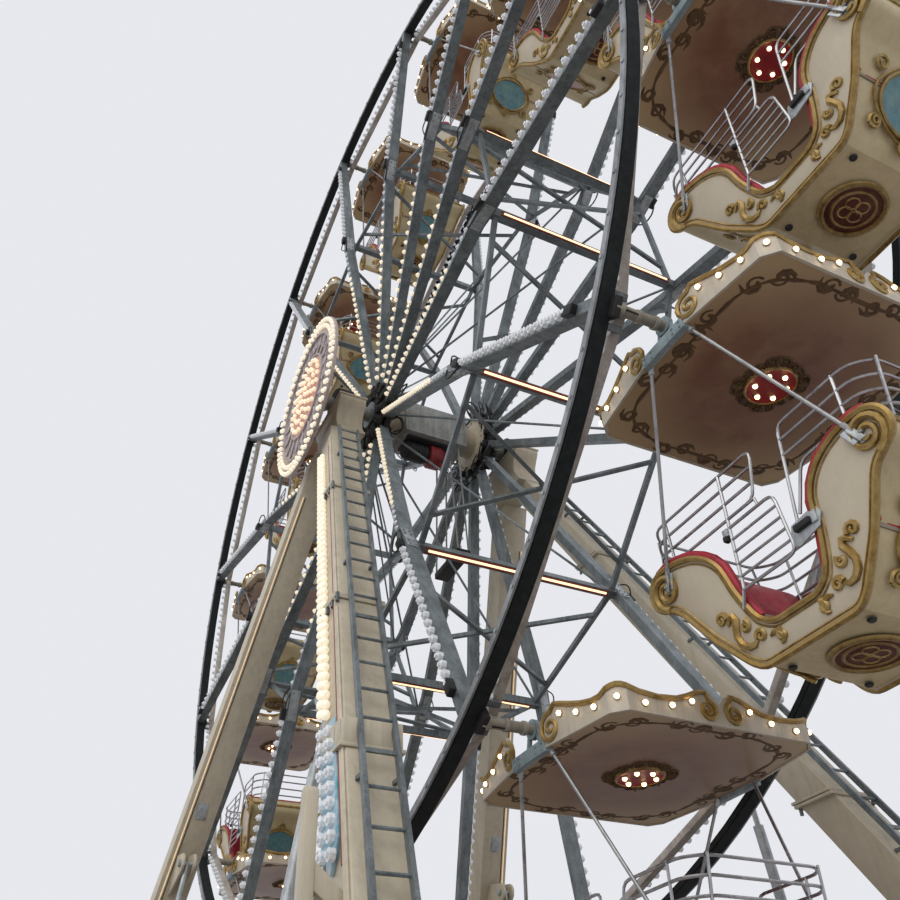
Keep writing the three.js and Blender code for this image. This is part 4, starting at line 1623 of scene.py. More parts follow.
    def under(self) -> list[Dressed]:
        """Sets the medallion and the drain plugs under the floor.

        Returns:
            The gold and the plugs.
        """
        low = -2.549
        ring = turned(
            "medallion_ring", [(0.2, 0.0), (0.205, -0.018), (0.222, -0.024), (0.24, -0.016), (0.248, 0.0)],
            (0, 0, low), "Z", 32, closed=True
        )
        inner = turned(
            "medallion_bead", [(0.14, 0.0), (0.144, -0.012), (0.154, -0.016), (0.164, -0.01), (0.167, 0.0)],
            (0, 0, low), "Z", 32, closed=True
        )
        lobes = []
        for step in range(4):
            angle = radians(45 + 90 * step)
            centre = (0.06 * cos(angle), 0.06 * sin(angle), low - 0.004)
            lobe = [
                (centre[0] + 0.048 * cos(a), centre[1] + 0.048 * sin(a), centre[2])
                for a in (i * pi / 7 for i in range(14))
            ]
            lobes.append(bent_bar("lobe", lobe, 0.011, 4, closed=True))
        gold = dress(joined("medallion_gold", [ring, inner, *lobes]), GOLD)
        field = dress(
            turned(
                "medallion_field", [(0.0, -0.008), (0.2, -0.006), (0.21, 0.0), (0.0, 0.0)], (0, 0, low), "Z", 32,
                closed=True
            ),
            MEDALLION
        )
        for piece in (gold, field):
            for corner in piece.data.vertices:
                corner.co.x *= 0.98
                corner.co.y *= 1.14
        plug = turned(
            "plug", [(0.0, -0.014), (0.023, -0.014), (0.03, -0.004), (0.03, 0.004), (0.0, 0.004)], (0, 0, 0), "Z", 12,
            closed=True
        )
        places = [Matrix.Translation((x, y, low)) for x in (-0.327, 0.327) for y in (-0.33, 0.33)]
        return [Dressed(gold), Dressed(field), Dressed(strewn("plugs", dress(plug, BLACK), places))]

    def end_fields(self) -> list[Dressed]:
        """Frames the plain painted fields on the sloping ends with gold scrolls.

        Returns:
            The gold of both ends, and the fields.
        """
        pieces, fields = [], []
        for sign in (-1, 1):
            low, high = Vector((0.487, 0, -2.497)), Vector((0.893, 0, -1.962))
            along = (high - low).normalized()
            middle = (low + high) / 2
            across = Vector((0, 1, 0))
            out = along.cross(across).normalized()
            out = out if out.x > 0 else -out
            mirror = Matrix.Diagonal((sign, 1, 1, 1))
            oval = [
                middle + along * 0.245 * sin(a) + across * 0.3 * cos(a) + out * 0.006
                for a in (i * pi / 12 for i in range(24))
            ]
            wavy = [middle + (p - middle) * (1.16 + 0.05 * cos(4 * i * pi / 12)) for i, p in enumerate(oval)]
            parts = [bent_bar("frame", oval, 0.017, 6, closed=True), bent_bar("outer", wavy, 0.012, 6, closed=True)]
            for corner_y, corner_a in (
                (0.33, 0.21), (-0.33, 0.21), (0.3, -0.21), (-0.3, -0.21), (0.0, 0.3), (0.0, -0.3)
            ):
                eye = middle + across * corner_y + along * corner_a + out * 0.006
                turn = atan2(corner_a, corner_y)
                for flip in (-1, 1):
                    curl = spiral(eye, across, along, turn, 1.2 * flip, (0.062, 0.012), 12)
                    parts.append(bent_bar("curl", curl, 0.015, 4, taper=[1.0 - 0.04 * i for i in range(13)]))
            whole = joined("end_gold", parts)
            field = plate("field", [p - out * 0.004 for p in oval], tuple(out * 0.006))
            for piece in (whole, field):
                piece.data.transform(mirror)
                weld(piece)
            pieces.append(whole)
            fields.append(dress(field, FIELD_BLUE if sign > 0 else FIELD_RED))
        return [Dressed(dress(joined("end_gold", pieces), GOLD)), Dressed(joined("end_fields", fields))]

    def floor(self) -> Piece:
        """Lays the foot well, the seat boxes and the plinth between the panels.

        Returns:
            The well.
        """
        profile = [(0.34, -2.5), (0.37, -2.19), (0.72, -2.19), (0.84, -1.62), (0.93, -1.6)]
        path = [*[(-x, z) for x, z in reversed(profile)], *profile]
        return dress(self.trough("well", path, 0.03, 0.02), WELL)

    def linings(self) -> Piece:
        """Pads the inner faces of the side panels above the seats in red.

        Returns:
            Both linings, as one piece.
        """
        pads = []
        shape = [
            (0.4, -2.16), (0.42, -1.86), (0.47, -1.765), (0.545, -1.7), (0.7, -1.622), (0.84, -1.59), (0.9, -1.62),
            (0.74, -2.16)
        ]
        for side in (-1, 1):
            for sign in (-1, 1):
                points = [(sign * x, side * (self.half_width(z) - 0.034), z) for x, z in shape]
                pads.append(plate("lining", points, (0, -side * 0.022, 0), 0.008))
        return dress(joined("linings", pads), VINYL)

    def capping(self) -> Piece:
        """Rolls red vinyl over the top of the wings and of the entry edges.

        Returns:
            The rolls, as one piece.
        """
        bars = []
        for side in (-1, 1):
            for sign in (-1, 1):
                path = [
                    (sign * x, side * (self.half_width(z) - 0.022), z)
                    for x, z in shifted(self.edge[:13], -0.03)[1:12]
                ]
                bars.append(bent_bar("capping", path, 0.031, 8, taper=[0.6, *([1.0] * 9), 0.6]))
        reach = self.half_width(-1.57) - 0.03
        for x in (-0.935, 0.935):
            bars.append(bent_bar("roll", [(x, -reach, -1.57), (x, reach, -1.57)], 0.027, 8))
        return dress(joined("capping", bars), VINYL)

    def seats(self) -> list[Dressed]:
        """Stuffs the seats and the backrests with their top rolls.

        Returns:
            The cushions.
        """
        made = []
        for sign, word in ((-1, "left"), (1, "right")):
            seat = Cushion((0.375, -0.5, -2.185), (0.73, 0.5, -2.085), channels=4).build(f"{word}_seat")
            back = Cushion((-0.045, -0.52, 0.0), (0.045, 0.52, 0.56), 5, upright=True).build(f"{word}_backrest")
            back.data.transform(Matrix.Translation((0.715, 0, -2.11)) @ Matrix.Rotation(radians(13), 4, "Y"))
            if sign < 0:
                for piece in (seat, back):
                    piece.data.transform(Matrix.Diagonal((-1, 1, 1, 1)))
                    piece.data.flip_normals()
            made += [Dressed(seat, Part.PAD), Dressed(back, Part.PAD)]
        return made

    def build(self) -> list[Dressed]:
        """Builds the whole tub.

        Returns:
            Its pieces.
        """
        return [
            Dressed(self.side_panels(), Part.TUB, "tub_paint"),
            Dressed(self.shell(), slot="tub_paint"),
            Dressed(self.edge_mouldings()),
            Dressed(self.scrollwork()),
            *self.under(),
            *self.end_fields(),
            Dressed(self.floor(), slot="tub_paint"),
            Dressed(self.linings(), Part.PAD),
            Dressed(self.capping(), Part.PAD),
            *self.seats(),
        ]


def shifted(path: Sequence[tuple[float, float]], distance: float) -> list[tuple[float, float]]:
    """Moves every point of a flat path to the right of its run.

    Args:
        path: the points.
        distance: how far, in metres; negative moves to the left.

    Returns:
        The moved points.
    """
    moved = []
    last = len(path) - 1
    for index, (x, z) in enumerate(path):
        before, after = path[max(index - 1, 0)], path[min(index + 1, last)]
        run = Vector((after[0] - before[0], after[1] - before[1])).normalized()
        moved.append((x + run.y * distance, z - run.x * distance))
    return moved


@dataclass
class Cushion:
    """A crowned vinyl pad with sewn channels, built flat between two corners."""

    low: Point
    high: Point
    channels: int = 4
    upright: bool = False

    def build(self, name: str) -> Piece:
        """Models the pad.

        Args:
            name: its name.

        Returns:
            The pad.
        """
        middle = [(a + b) / 2 for a, b in zip(self.low, self.high)]
        deselect()
        bpy.ops.mesh.primitive_cube_add(size=1, location=middle, scale=[b - a for a, b in zip(self.low, self.high)])
        piece = settle(newest(name))
        with editing(piece):
            bpy.ops.mesh.subdivide(number_cuts=7)
        thin = 0 if self.upright else 2
        for corner in piece.data.vertices:
            share = [(c - a) / (b - a) for c, a, b in zip(corner.co, self.low, self.high)]
            crown = 1.0
            for axis in range(3):
                if axis != thin:
                    crown *= 1 - abs(2 * share[axis] - 1) ** 3
            seam = 0.5 + 0.5 * cos(2 * pi * self.channels * share[1])
            lift = (0.35 - 0.13 * seam) * crown - 0.18 * (1 - crown)
            corner.co[thin] += lift * (self.high[thin] - self.low[thin]) * (2 * share[thin] - 1)
        pick(piece)
        rounder = piece.modifiers.new("crown", "SUBSURF")
        rounder.levels = rounder.render_levels = 1
        bpy.ops.object.modifier_apply(modifier=rounder.name)
        return dress(smooth(piece, 60), VINYL)


@dataclass
class Railings:
    """Polished rails round the two ends, with the entry gate and its latch."""

    out: float = 0.6
    end: float = 1.1
    bar: float = 0.0115
    levels: tuple = (-1.17, -1.29, -1.41, -1.53)

    def posts(self, sign: int) -> list[Piece]:
        """Bends the four posts that hold the rails of one end.

        Args:
            sign: -1 for the left end, 1 for the right one.

        Returns:
            The posts.
        """
        bars = []
        for side in (-1, 1):
            outer = [(sign * (self.end + 0.012), side * 0.47, -1.16), (sign * (self.end - 0.035), side * 0.49, -1.62)]
            inner = [(sign * 0.86, side * self.out, -1.16), (sign * 0.84, side * self.out, -1.6)]
            bars += [bent_bar("post", ends, self.bar, 6) for ends in (outer, inner)]
        return bars

    def right_end(self) -> list[Piece]:
        """Bends the rails of the right end and its entry posts.

        Returns:
            The rails and the posts.
        """
        bars = []
        for index, z in enumerate(self.levels):
            start = 0.361 - 0.096 * (-1.17 - z) / 0.785
            if index == 3:
                start += 0.13
            corners = [
                (start, -self.out, z), (self.end - 0.13, -self.out, z), (self.end, -self.out + 0.13, z),
                (self.end, self.out - 0.13, z), (self.end - 0.13, self.out, z), (start, self.out, z),
            ]
            if index in (0, 3):
                foot_x, foot_z = (0.265, -1.956) if index == 0 else (0.31, -1.86)
                corners = [(foot_x, -self.out, foot_z), *corners, (foot_x, self.out, foot_z)]
            bars.append(bent_bar("rail", rounded(corners, 0.075, 3), self.bar, 6))
        return [*bars, *self.posts(1)]

    def left_end(self) -> list[Piece]:
        """Bends the rails of the left end, whose free ends reach past the entry post.

        Returns:
            The rails and the posts.
        """
        bars = []
        for index, z in enumerate(self.levels):
            free = 0.09 - 0.03 * index
            corners = [
                (free, -self.out, z), (-self.end + 0.13, -self.out, z), (-self.end, -self.out + 0.13, z),
                (-self.end, self.out - 0.13, z), (-self.end + 0.13, self.out, z), (free, self.out, z),
            ]
            if index == 0:
                low = (0.005, self.levels[3])
                corners = [
                    (-0.25, -self.out, low[1]), (low[0], -self.out, low[1]), *corners, (low[0], self.out, low[1]),
                    (-0.25, self.out, low[1])
                ]
            bars.append(bent_bar("rail", rounded(corners, 0.07, 3), self.bar, 6))
        for side in (-1, 1):
            bars.append(
                bent_bar(
                    "post", [(-0.243, side * self.out, -1.16), (-0.29, side * self.out, -2.07)], self.bar * 1.1, 6
                )
            )
            bars.append(
                bent_bar("stay", [(-0.29, side * self.out, -2.06), (-0.36, side * 0.575, -2.17)], self.bar * 1.1, 6)
            )
        return [*bars, *self.posts(-1)]

    def gate(self, side: int) -> list[Piece]:
        """Bends one gate: a rounded frame with four bars across.

        Args:
            side: -1 for the front one, 1 for the rear one.

        Returns:
            The bars of the gate.
        """
        y = side * (self.out + 0.004)
        frame_path = [(-0.262, y, -1.6), (0.16, y, -1.6), (0.2, y, -2.07), (-0.292, y, -2.07)]
        bars = [bent_bar("gate", rounded(frame_path, 0.07, 3), self.bar, 6)]
        for step in range(1, 5):
            z = -1.6 - 0.47 * step / 5
            bars.append(
                bent_bar(
                    "gate_bar", [(-0.262 - 0.006 * step, y, z), (0.166 + 0.008 * step, y, z)], self.bar * 0.85, 6
                )
            )
        bars.append(bent_bar("gate_stay", [(0.01, y, -1.53), (0.025, y, -1.6)], self.bar * 0.85, 6))
        return bars

    def fittings(self) -> tuple[Piece, Piece]:
        """Cuts the latch plates and hinges, with the black latches on them.

        Returns:
            The zinc plates, and the black latches.
        """
        zinc, black = [], []
        for side in (-1, 1):
            y = side * 0.598
            outline_points = [(0.18, -2.03), (0.22, -1.9), (0.43, -1.87), (0.46, -1.94), (0.42, -2.02), (0.24, -2.06)]
            zinc.append(plate("latch_plate", [(x, y, z) for x, z in outline_points], (0, side * 0.012, 0), 0.002))
            zinc.append(block("latch_box", (0.385, y, -1.985), (0.43, y + side * 0.028, -1.905), 0.004))
            zinc.append(block("hinge", (-0.32, y, -1.66), (-0.27, y + side * 0.03, -1.6), 0.004))
            black.append(block("latch", (0.25, y, -1.975), (0.385, y + side * 0.045, -1.93), 0.008))
            black.append(block("knob", (-0.315, y, -1.7), (-0.28, y + side * 0.045, -1.66), 0.006))
        return dress(joined("latch_plates", zinc), ZINC_BRIGHT), dress(joined("latches", black), BLACK)

    def build(self) -> list[Dressed]:
        """Builds all the rails.

        Returns:
            Their pieces.
        """
        bars = [*self.right_end(), *self.left_end(), *self.gate(-1), *self.gate(1)]
        plates, latches = self.fittings()
        return [
            Dressed(dress(joined("rails", bars), STAINLESS)), Dressed(plates, slot="galvanised_steel"),
            Dressed(latches)
        ]


@dataclass
class Hangers:
    """The four rods between canopy and tub, with their forks."""

    radius: float = 0.0145
    top: Point = (0.23, 0.98, -0.246)
    foot: Point = (0.905, 0.645, -1.7)

    def build(self) -> list[Dressed]:
        """Builds rods and forks.

        Returns:
            Their pieces.
        """
        rods, forks = [], []
        for sign_x in (-1, 1):
            for sign_y in (-1, 1):
                sign = Vector((sign_x, sign_y, 1))
                top, foot = Vector(self.top) * sign, (Vector(self.foot) + Vector((0, 0.012, 0))) * sign
                rods.append(bent_bar("rod", [top, foot], self.radius, 8))
                along = (top - foot).normalized()
                rods.append(bent_bar("thread", [foot + along * 0.03, foot + along * 0.12], self.radius * 1.35, 6))
                for offset in (-0.022, 0.022):
                    low = foot + Vector((offset, 0, -0.05))
                    cheek = block("cheek", (-0.005, -0.022, 0), (0.005, 0.022, 0.12), 0.003)
                    cheek.data.transform(Matrix.Translation(low) @ along.to_track_quat("Z", "Y").to_matrix().to_4x4())
                    forks.append(cheek)
                pin = bent_bar("pin", [foot + Vector((-0.045, 0, 0)), foot + Vector((0.045, 0, 0))], 0.012, 8)
                base = block("base", (-0.045, -0.01, -0.045), (0.045, 0.01, 0.045), 0.005)
                base.data.transform(Matrix.Translation(foot - Vector((0, sign_y * 0.022, 0.02))))
                collar = bent_bar("collar", [top + along * 0.01, top - along * 0.05], 0.024, 8)
                forks += [pin, base, collar]
        return [
            Dressed(dress(joined("rods", rods), ROD_STEEL)),
            Dressed(dress(joined("forks", forks), ZINC_BRIGHT), slot="galvanised_steel")
        ]


def station_angle(index: float) -> float:
    """Gives the angle of a station, in radians."""
    return radians(FIRST_ANGLE) + index * 2 * pi / STATIONS


def station(index: float, radius: float, y: float) -> Vector:
    """Gives the point at a station, at a radius and a place along the axle."""
    angle = station_angle(index)
    return Vector((radius * cos(angle), y, AXLE_HEIGHT + radius * sin(angle)))


@dataclass
class Gondolas:
    """All fourteen gondolas."""

    count: int = STATIONS
    radius: float = PIVOT_RADIUS

    def build(self) -> None:
        """Builds one gondola and hangs its copies at the stations."""
        parts = [*Canopy().build(), *Tub().build(), *Railings().build(), *Hangers().build()]
        for index in range(self.count):
            body = f"gondola_{index + 1:02d}"
            place = Matrix.Translation(station(index, self.radius, 0))
            for part in parts:
                copy = moved_copy(part.piece, f"{body}_{part.piece.name}", place)
                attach(copy, body)
                if part.part is Part.CANOPY:
                    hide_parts(f"{body}_canopy")
                elif part.part is Part.TUB:
                    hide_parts(f"{body}_tub")
        drop(*[part.piece for part in parts])


# Wheel: rims, lamps on the spokes and strips, joint plates, cables and strut lights


@dataclass
class Wheel:
    """Everything that turns with the wheel, apart from the gondolas."""

    pivot: float = PIVOT_RADIUS
    axle: float = AXLE_HEIGHT
    count: int = STATIONS
    hub: tuple[float, float] = (0.3, 0.845)
    joint: tuple[float, float] = (4.344, 1.354)
    tip: tuple[float, float] = (7.34, 1.52)
    half_depth: float = 0.065

    def radial(self, index: float, radius: float, y: float) -> Matrix:
        """Gives the place at a station whose Z axis points away from the axle."""
        return Matrix.Translation(station(index, radius, y)) @ Matrix.Rotation(pi / 2 - station_angle(index), 4, "Y")

    def around(self, radius: float, y: float = 0.0, shift: float = 0.0) -> list[Matrix]:
        """Gives the places of all stations at a radius, or of the bays between them with a shift of half."""
        return [self.radial(index + shift, radius, y) for index in range(self.count)]

    def rims(self) -> None:
        """Spins the two rims: dark body and tread, pale flange, stub axles and nuts."""
        for side, word in SIDES:
            centre = (0, 0, self.axle)
            bands = []
            for label, radii, ys, finish in (
                ("body", (7.32, 7.372), (1.43, 1.572), RIM_BLACK),
                ("tread", (7.368, 7.382), (1.44, 1.56), RIM_BLACK),
                ("flange", (7.314, 7.376), (1.57, 1.588), FLANGE),
            ):
                profile = square(*radii, side * ys[0], side * ys[1])
                bands.append(dress(turned(label, profile, centre, "Y", 126, closed=True), finish))
            rim = joined(f"{word}_rim_ring", bands)
            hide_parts(f"{word}_rim")
            rings = (
                (0, 0.985), (0.045, 0.985), (0.045, 1.04), (0.057, 1.042), (0.057, 1.075), (0.045, 1.077),
                (0.045, 1.2), (0.053, 1.202), (0.053, 1.235), (0.045, 1.237), (0.045, 1.36), (0.062, 1.362),
                (0.062, 1.44), (0, 1.44)
            )
            stub = dress(turned("stub", [(r, side * y) for r, y in rings], (0, 0, 0), "Y", 12), STUB)
            stubs = strewn(f"{word}_stub_axles", stub, self.around(self.pivot))
            ribs = []
            for flip in (-1, 1):
                points = [(1.41, 0.03), (1.41, 0.06), (1.2, 0.042), (1.2, 0.03)]
                ribs.append(plate("rib", [(-0.006, side * y, flip * z) for y, z in points], (0.012, 0, 0)))
            clamp = block("clamp", (-0.085, side * 1.43 - 0.03, -0.09), (0.085, side * 1.43 + 0.03, 0.06), 0.008)
            fittings = strewn(
                f"{word}_stub_fittings", dress(joined("fitting", [*ribs, clamp]), BLACK), self.around(self.pivot)
            )
            places = [self.radial(i / 9, 7.345, side * 1.588) for i in range(9 * self.count) if i % 9]
            nut = dress(block("nut", (-0.013, 0, -0.013), (0.013, side * 0.012, 0.013)), ZINC_BRIGHT)
            nuts = strewn(f"{word}_rim_nuts", nut, places)
            for piece in (rim, stubs, fittings, nuts):
                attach(piece, "wheel")

    def lamp_row(self, low: Vector, high: Vector, outward: Vector, lift: float, pitch: float) -> list[Matrix]:
        """Gives the places of a row of lamps.

        Args:
            low: where the row starts, on the bar's middle line.
            high: where it ends.
            outward: the side that the lamps stand on.
            lift: how far the bar's face is from its middle line.
            pitch: how far apart the lamps are.

        Returns:
            The places.
        """
        along = (high - low).normalized()
        out = (outward - along * outward.dot(along)).normalized()
        count = max(2, round((high - low).length / pitch))
        return [facing(low.lerp(high, (i + 0.5) / count) + out * lift, out, 0.4 * i) for i in range(count)]

    def spoke_lamps(self) -> None:
        """Sets the lamps on the outer faces of all the spokes."""
        for side, word in SIDES:
            lit, unlit, outer = [], [], []
            out = Vector((0, side, 0))
            for index in range(self.count):
                inner = [station(index, r, side * y) for r, y in (self.hub, self.joint, self.tip)]
                row = self.lamp_row(
                    inner[0].lerp(inner[1], 0.07), inner[0].lerp(inner[1], 0.955), out, self.half_depth, 0.142
                )
                share = 20 if side < 0 else 0
                lit += row[:share]
                unlit += row[share:]
                outer += self.lamp_row(
                    inner[1].lerp(inner[2], 0.07), inner[1].lerp(inner[2], 0.9), out, self.half_depth, 0.13
                )
            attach(caps(f"{word}_white_caps", 0.034, 0.055, unlit, UNLIT_CAP_PAINTED_GLOW), "wheel")
            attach(caps(f"{word}_outer_caps", 0.041, 0.068, outer, UNLIT_CAP_PAINTED_GLOW), "wheel")
            if lit:
                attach(caps(f"{word}_warm_caps", 0.034, 0.058, lit, LIT_CAP), "wheel")

    def strips(self) -> None:
        """Builds the fourteen light strips of each side, a little inside the rim, with their lamps and holders."""
        for side, word in SIDES:
            middles = self.around(7.12, shift=0.5)
            bar = block("strip", (-1.615, side * 1.275, -0.034), (1.615, side * 1.365, 0.034), 0.005)
            strips = strewn(f"{word}_strips", dress(bar, STRIP), middles)
            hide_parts(f"{word}_light_strips")
            arms = [((x - 0.03, side * 1.3, -0.07), (x + 0.03, side * 1.47, -0.05)) for x in (-0.13, 0.13)]
            holder = joined("holder", [block("arm", *arm, 0.004) for arm in arms])
            held = strewn(f"{word}_strip_holders", dress(holder, ZINC), self.around(self.pivot))
            lamps = [
                m @ facing((0.148 * (i - 10), side * 1.364, 0.004), (0, side, 0), i)
                for m in middles for i in range(21)
            ]
            for piece in (strips, held, caps(f"{word}_strip_caps", 0.034, 0.058, lamps, UNLIT_CAP_PAINTED_GLOW)):
                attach(piece, "wheel")

    def joints(self) -> None:
        """Bolts the plates over the spoke joints, with black boxes and cable loops."""
        sheet = block("sheet", (-0.006, -0.062, -0.2), (0.006, 0.062, 0.2), 0.002)
        pieces = [sheet]
        for z in (-0.16, -0.08, 0.08, 0.16):
            for y in (-0.035, 0.035):
                deselect()
                bpy.ops.mesh.primitive_cylinder_add(
                    vertices=6, radius=0.014, depth=0.016, location=(0.012, y, z), rotation=(0, pi / 2, 0)
                )
                pieces.append(settle(newest("nut")))
        plates = dress(joined("plates", pieces), ZINC_BRIGHT)
        places, boxes, loops = [], [], []
        for side in (-1, 1):
            for index in range(self.count):
                spot = self.radial(index, 4.375, side * 1.356)
                places += [
                    spot @ Matrix.Translation((0.053, 0, 0)),
                    spot @ Matrix.Rotation(pi, 4, "Z") @ Matrix.Translation((0.053, 0, 0))
                ]
                boxes += [
                    self.radial(index, 7.02, side * 1.5) @ Matrix.Translation((0, side * 0.095, 0)),
                    self.radial(index, 4.5, side * 1.37) @ Matrix.Translation((0, side * 0.1, 0))
                ]
                loops.append(self.radial(index, 4.375, side * 1.43) @ Matrix.Diagonal((1, side, 1, 1)))
        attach(strewn("joint_plates", plates, places), "wheel")
        box = block("box", (-0.045, -0.035, -0.075), (0.045, 0.035, 0.075), 0.01)
        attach(strewn("junction_boxes", dress(box, BLACK), boxes), "wheel")
        path = rounded(
            [(0.02, 0.0, -0.22), (0.13, 0.03, -0.16), (0.16, 0.05, 0.02), (0.05, 0.03, 0.17), (-0.02, 0.0, 0.24)],
            0.09, 3
        )
        second = rounded([(-0.03, 0.0, -0.15), (-0.11, 0.05, -0.05), (-0.07, 0.04, 0.1), (0.0, 0.01, 0.16)], 0.07, 3)
        loop = joined("loop", [bent_bar("cable", path, 0.011, 6), bent_bar("cable", second, 0.009, 6)])
        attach(strewn("joint_cables", dress(loop, BLACK), loops), "wheel")

    def strut_lights(self) -> None:
        """Lays the bright line and the dark red line along the struts of the bracing."""
        for name, low, high, finish in (
            ("strut_lights", (-0.017, -1.14, 0.047), (0.008, 1.14, 0.064), LIGHT_LINE),
            ("strut_red_lines", (0.01, -1.18, 0.047), (0.032, 1.18, 0.06), RED_LINE),
            ("strut_channels", (-0.038, -1.18, 0.047), (-0.02, 1.18, 0.06), RED_LINE),
        ):
            bar = dress(block(name, low, high, 0.003), finish)
            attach(strewn(name, bar, self.around(4.44)), "wheel")

    def rods(self) -> None:
        """Strings the thin rod of each station from the front hub to the rear end of the strut."""
        bars = [bent_bar("rod", [(0, -0.87, 0.52), (0, 1.235, 4.385)], 0.0165, 6)]
        bars.append(block("eye", (-0.012, -0.905, 0.47), (0.012, -0.835, 0.57), 0.004))
        pattern = dress(joined("rod_pattern", bars), ZINC)
        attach(strewn("bracing_rods", pattern, self.around(0)), "wheel")

    def hubs(self) -> None:
        """Hangs the cable nests and junction boxes round the two hubs, and sets their flanges and clamps."""
        loops, boxes = [], []
        for side in (-1, 1):
            for index in range(self.count):
                wide = 0.8 + 0.4 * sin(2.3 * index + side)
                loops.append(
                    self.radial(index + 0.5, 0.62, side * 0.8) @ Matrix.Diagonal((wide, side * wide, wide, 1))
                )
                boxes.append(self.radial(index, 0.47, side * 0.785))
        path = rounded(
            [(-0.11, 0.05, -0.05), (-0.12, -0.06, 0.09), (0.0, -0.12, 0.17), (0.13, -0.08, 0.08), (0.1, 0.03, -0.06)],
            0.12, 3
        )
        back = rounded(
            [(-0.06, -0.05, -0.22), (-0.13, -0.14, -0.08), (0.02, -0.17, 0.05), (0.1, -0.1, -0.12)], 0.1, 3
        )
        loop = joined("loop", [bent_bar("cable", path, 0.013, 6), bent_bar("cable", back, 0.011, 6)])
        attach(strewn("hub_cables", dress(loop, BLACK), loops), "wheel")
        box = block("box", (-0.05, -0.04, -0.06), (0.05, 0.04, 0.06), 0.01)
        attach(strewn("hub_boxes", dress(box, BLACK), boxes), "wheel")
        clamp = joined(
            "clamp",
            [
                block("clamp", (-0.055, -0.03, -0.13), (0.055, 0.03, 0.11), 0.01),
                block("nut", (-0.02, -0.045, -0.06), (0.02, 0.045, -0.02), 0.004)
            ]
        )
        clamps = [place for side in (-1, 1) for place in self.around(0.42, side * 0.965, 0.5)]
        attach(strewn("hub_clamps", dress(clamp, HUB_BLACK), clamps), "wheel")
        for side, word in SIDES:
            profile = [(0.22, 0.888), (0.548, 0.888), (0.565, 0.876), (0.565, 0.824), (0.548, 0.812), (0.22, 0.812)]
            ring = turned("flange", [(r, side * y) for r, y in profile], (0, 0, self.axle), "Y", 36, closed=True)
            profile = [
                (0.15, 0.9), (0.15, 0.985), (0.21, 0.985), (0.225, 0.955), (0.5, 0.955), (0.52, 0.94), (0.52, 0.92),
                (0.3, 0.9)
            ]
            cover = turned("cover", [(r, side * y) for r, y in profile], (0, 0, self.axle), "Y", 36, closed=True)
            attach(dress(joined(f"{word}_hub_flange", [ring, cover]), HUB_BLACK), "wheel")

    def build(self) -> None:
        """Builds all of it."""
        self.rims()
        self.strips()
        self.spoke_lamps()
        self.joints()
        self.strut_lights()
        self.rods()
        self.hubs()


# What stands still: sign, legs, axle and ladders


@dataclass
class Sign:
    """The lit round sign: rings of lamps and a plain sunburst."""

    centre: Point = (0.0, -1.991, AXLE_HEIGHT)
    rings: tuple = ((1.2, 60), (1.1, 54), (0.56, 24), (0.41, 18), (0.26, 12), (0.12, 6))
    lamp: float = 0.037

    def build(self) -> None:
        """Builds the board with its tube, and mouldings, rays and lamps on its front."""
        face = self.centre[1]
        profile = [
            (0.0, 0.0), (1.235, 0.0), (1.243, 0.006), (1.243, 0.024), (0.17, 0.034), (0.15, 0.05), (0.15, 0.291),
            (0.0, 0.291)
        ]
        board = dress(turned("sign_board", profile, self.centre, "Y", 60), SIGN)
        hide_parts("sign_disc")
        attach(board, "supports")
        mouldings = []
        for inner, outer, proud in (
            (1.222, 1.243, 0.02), (1.14, 1.155, 0.02), (0.98, 1.01, 0.035), (0.645, 0.675, 0.03)
        ):
            profile = [(inner, 0.0), (inner + 0.004, -proud), (outer - 0.004, -proud), (outer, 0.0)]
            mouldings.append(turned("moulding", profile, self.centre, "Y", 60, closed=True))
        for step in range(20):
            angle = 2 * pi * step / 20
            turn = Matrix.Translation(self.centre) @ Matrix.Rotation(angle, 4, "Y")
            ray = plate(
                "ray", [(0.0, 0.0, 0.97), (0.045, 0.0, 0.8), (0.0, 0.0, 0.68), (-0.045, 0.0, 0.8)], (0, -0.022, 0),
                0.004
            )
            ray.data.transform(turn)
            mouldings.append(ray)
            curl = spiral(
                (0.105, -0.004, 0.84), Vector((1, 0, 0)), Vector((0, 0, 1)), 2.0, 1.2 if step % 2 else -1.2,
                (0.075, 0.015), 9
            )
            scroll = bent_bar("scroll", curl, 0.016, 4)
            scroll.data.transform(turn)
            mouldings.append(scroll)
        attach(dress(joined("sign_relief", mouldings), SIGN_RELIEF), "supports")
        boss = turned(
            "boss", [(0.0, -0.05), (0.19, -0.045), (0.42, -0.03), (0.64, -0.004), (0.64, 0.0), (0.0, 0.0)],
            self.centre, "Y", 40, closed=True
        )
        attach(dress(boss, SIGN_ROSE), "supports")
        for label, rings, finish in (("outer", self.rings[:2], LIT_GLOBE), ("inner", self.rings[2:], ROSE_GLOBE)):
            places = []
            for radius, count in rings:
                for step in range(count):
                    angle = 2 * pi * (step + 0.5 * (count % 4 > 0)) / count
                    lift = 0.0 if radius > 1 else 0.04 * (1 - radius / 0.7)
                    places.append(
                        facing((radius * cos(angle), face - lift, self.centre[2] + radius * sin(angle)), (0, -1, 0))
                    )
            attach(globes(f"sign_{label}_lamps", self.lamp, places, finish), "supports")


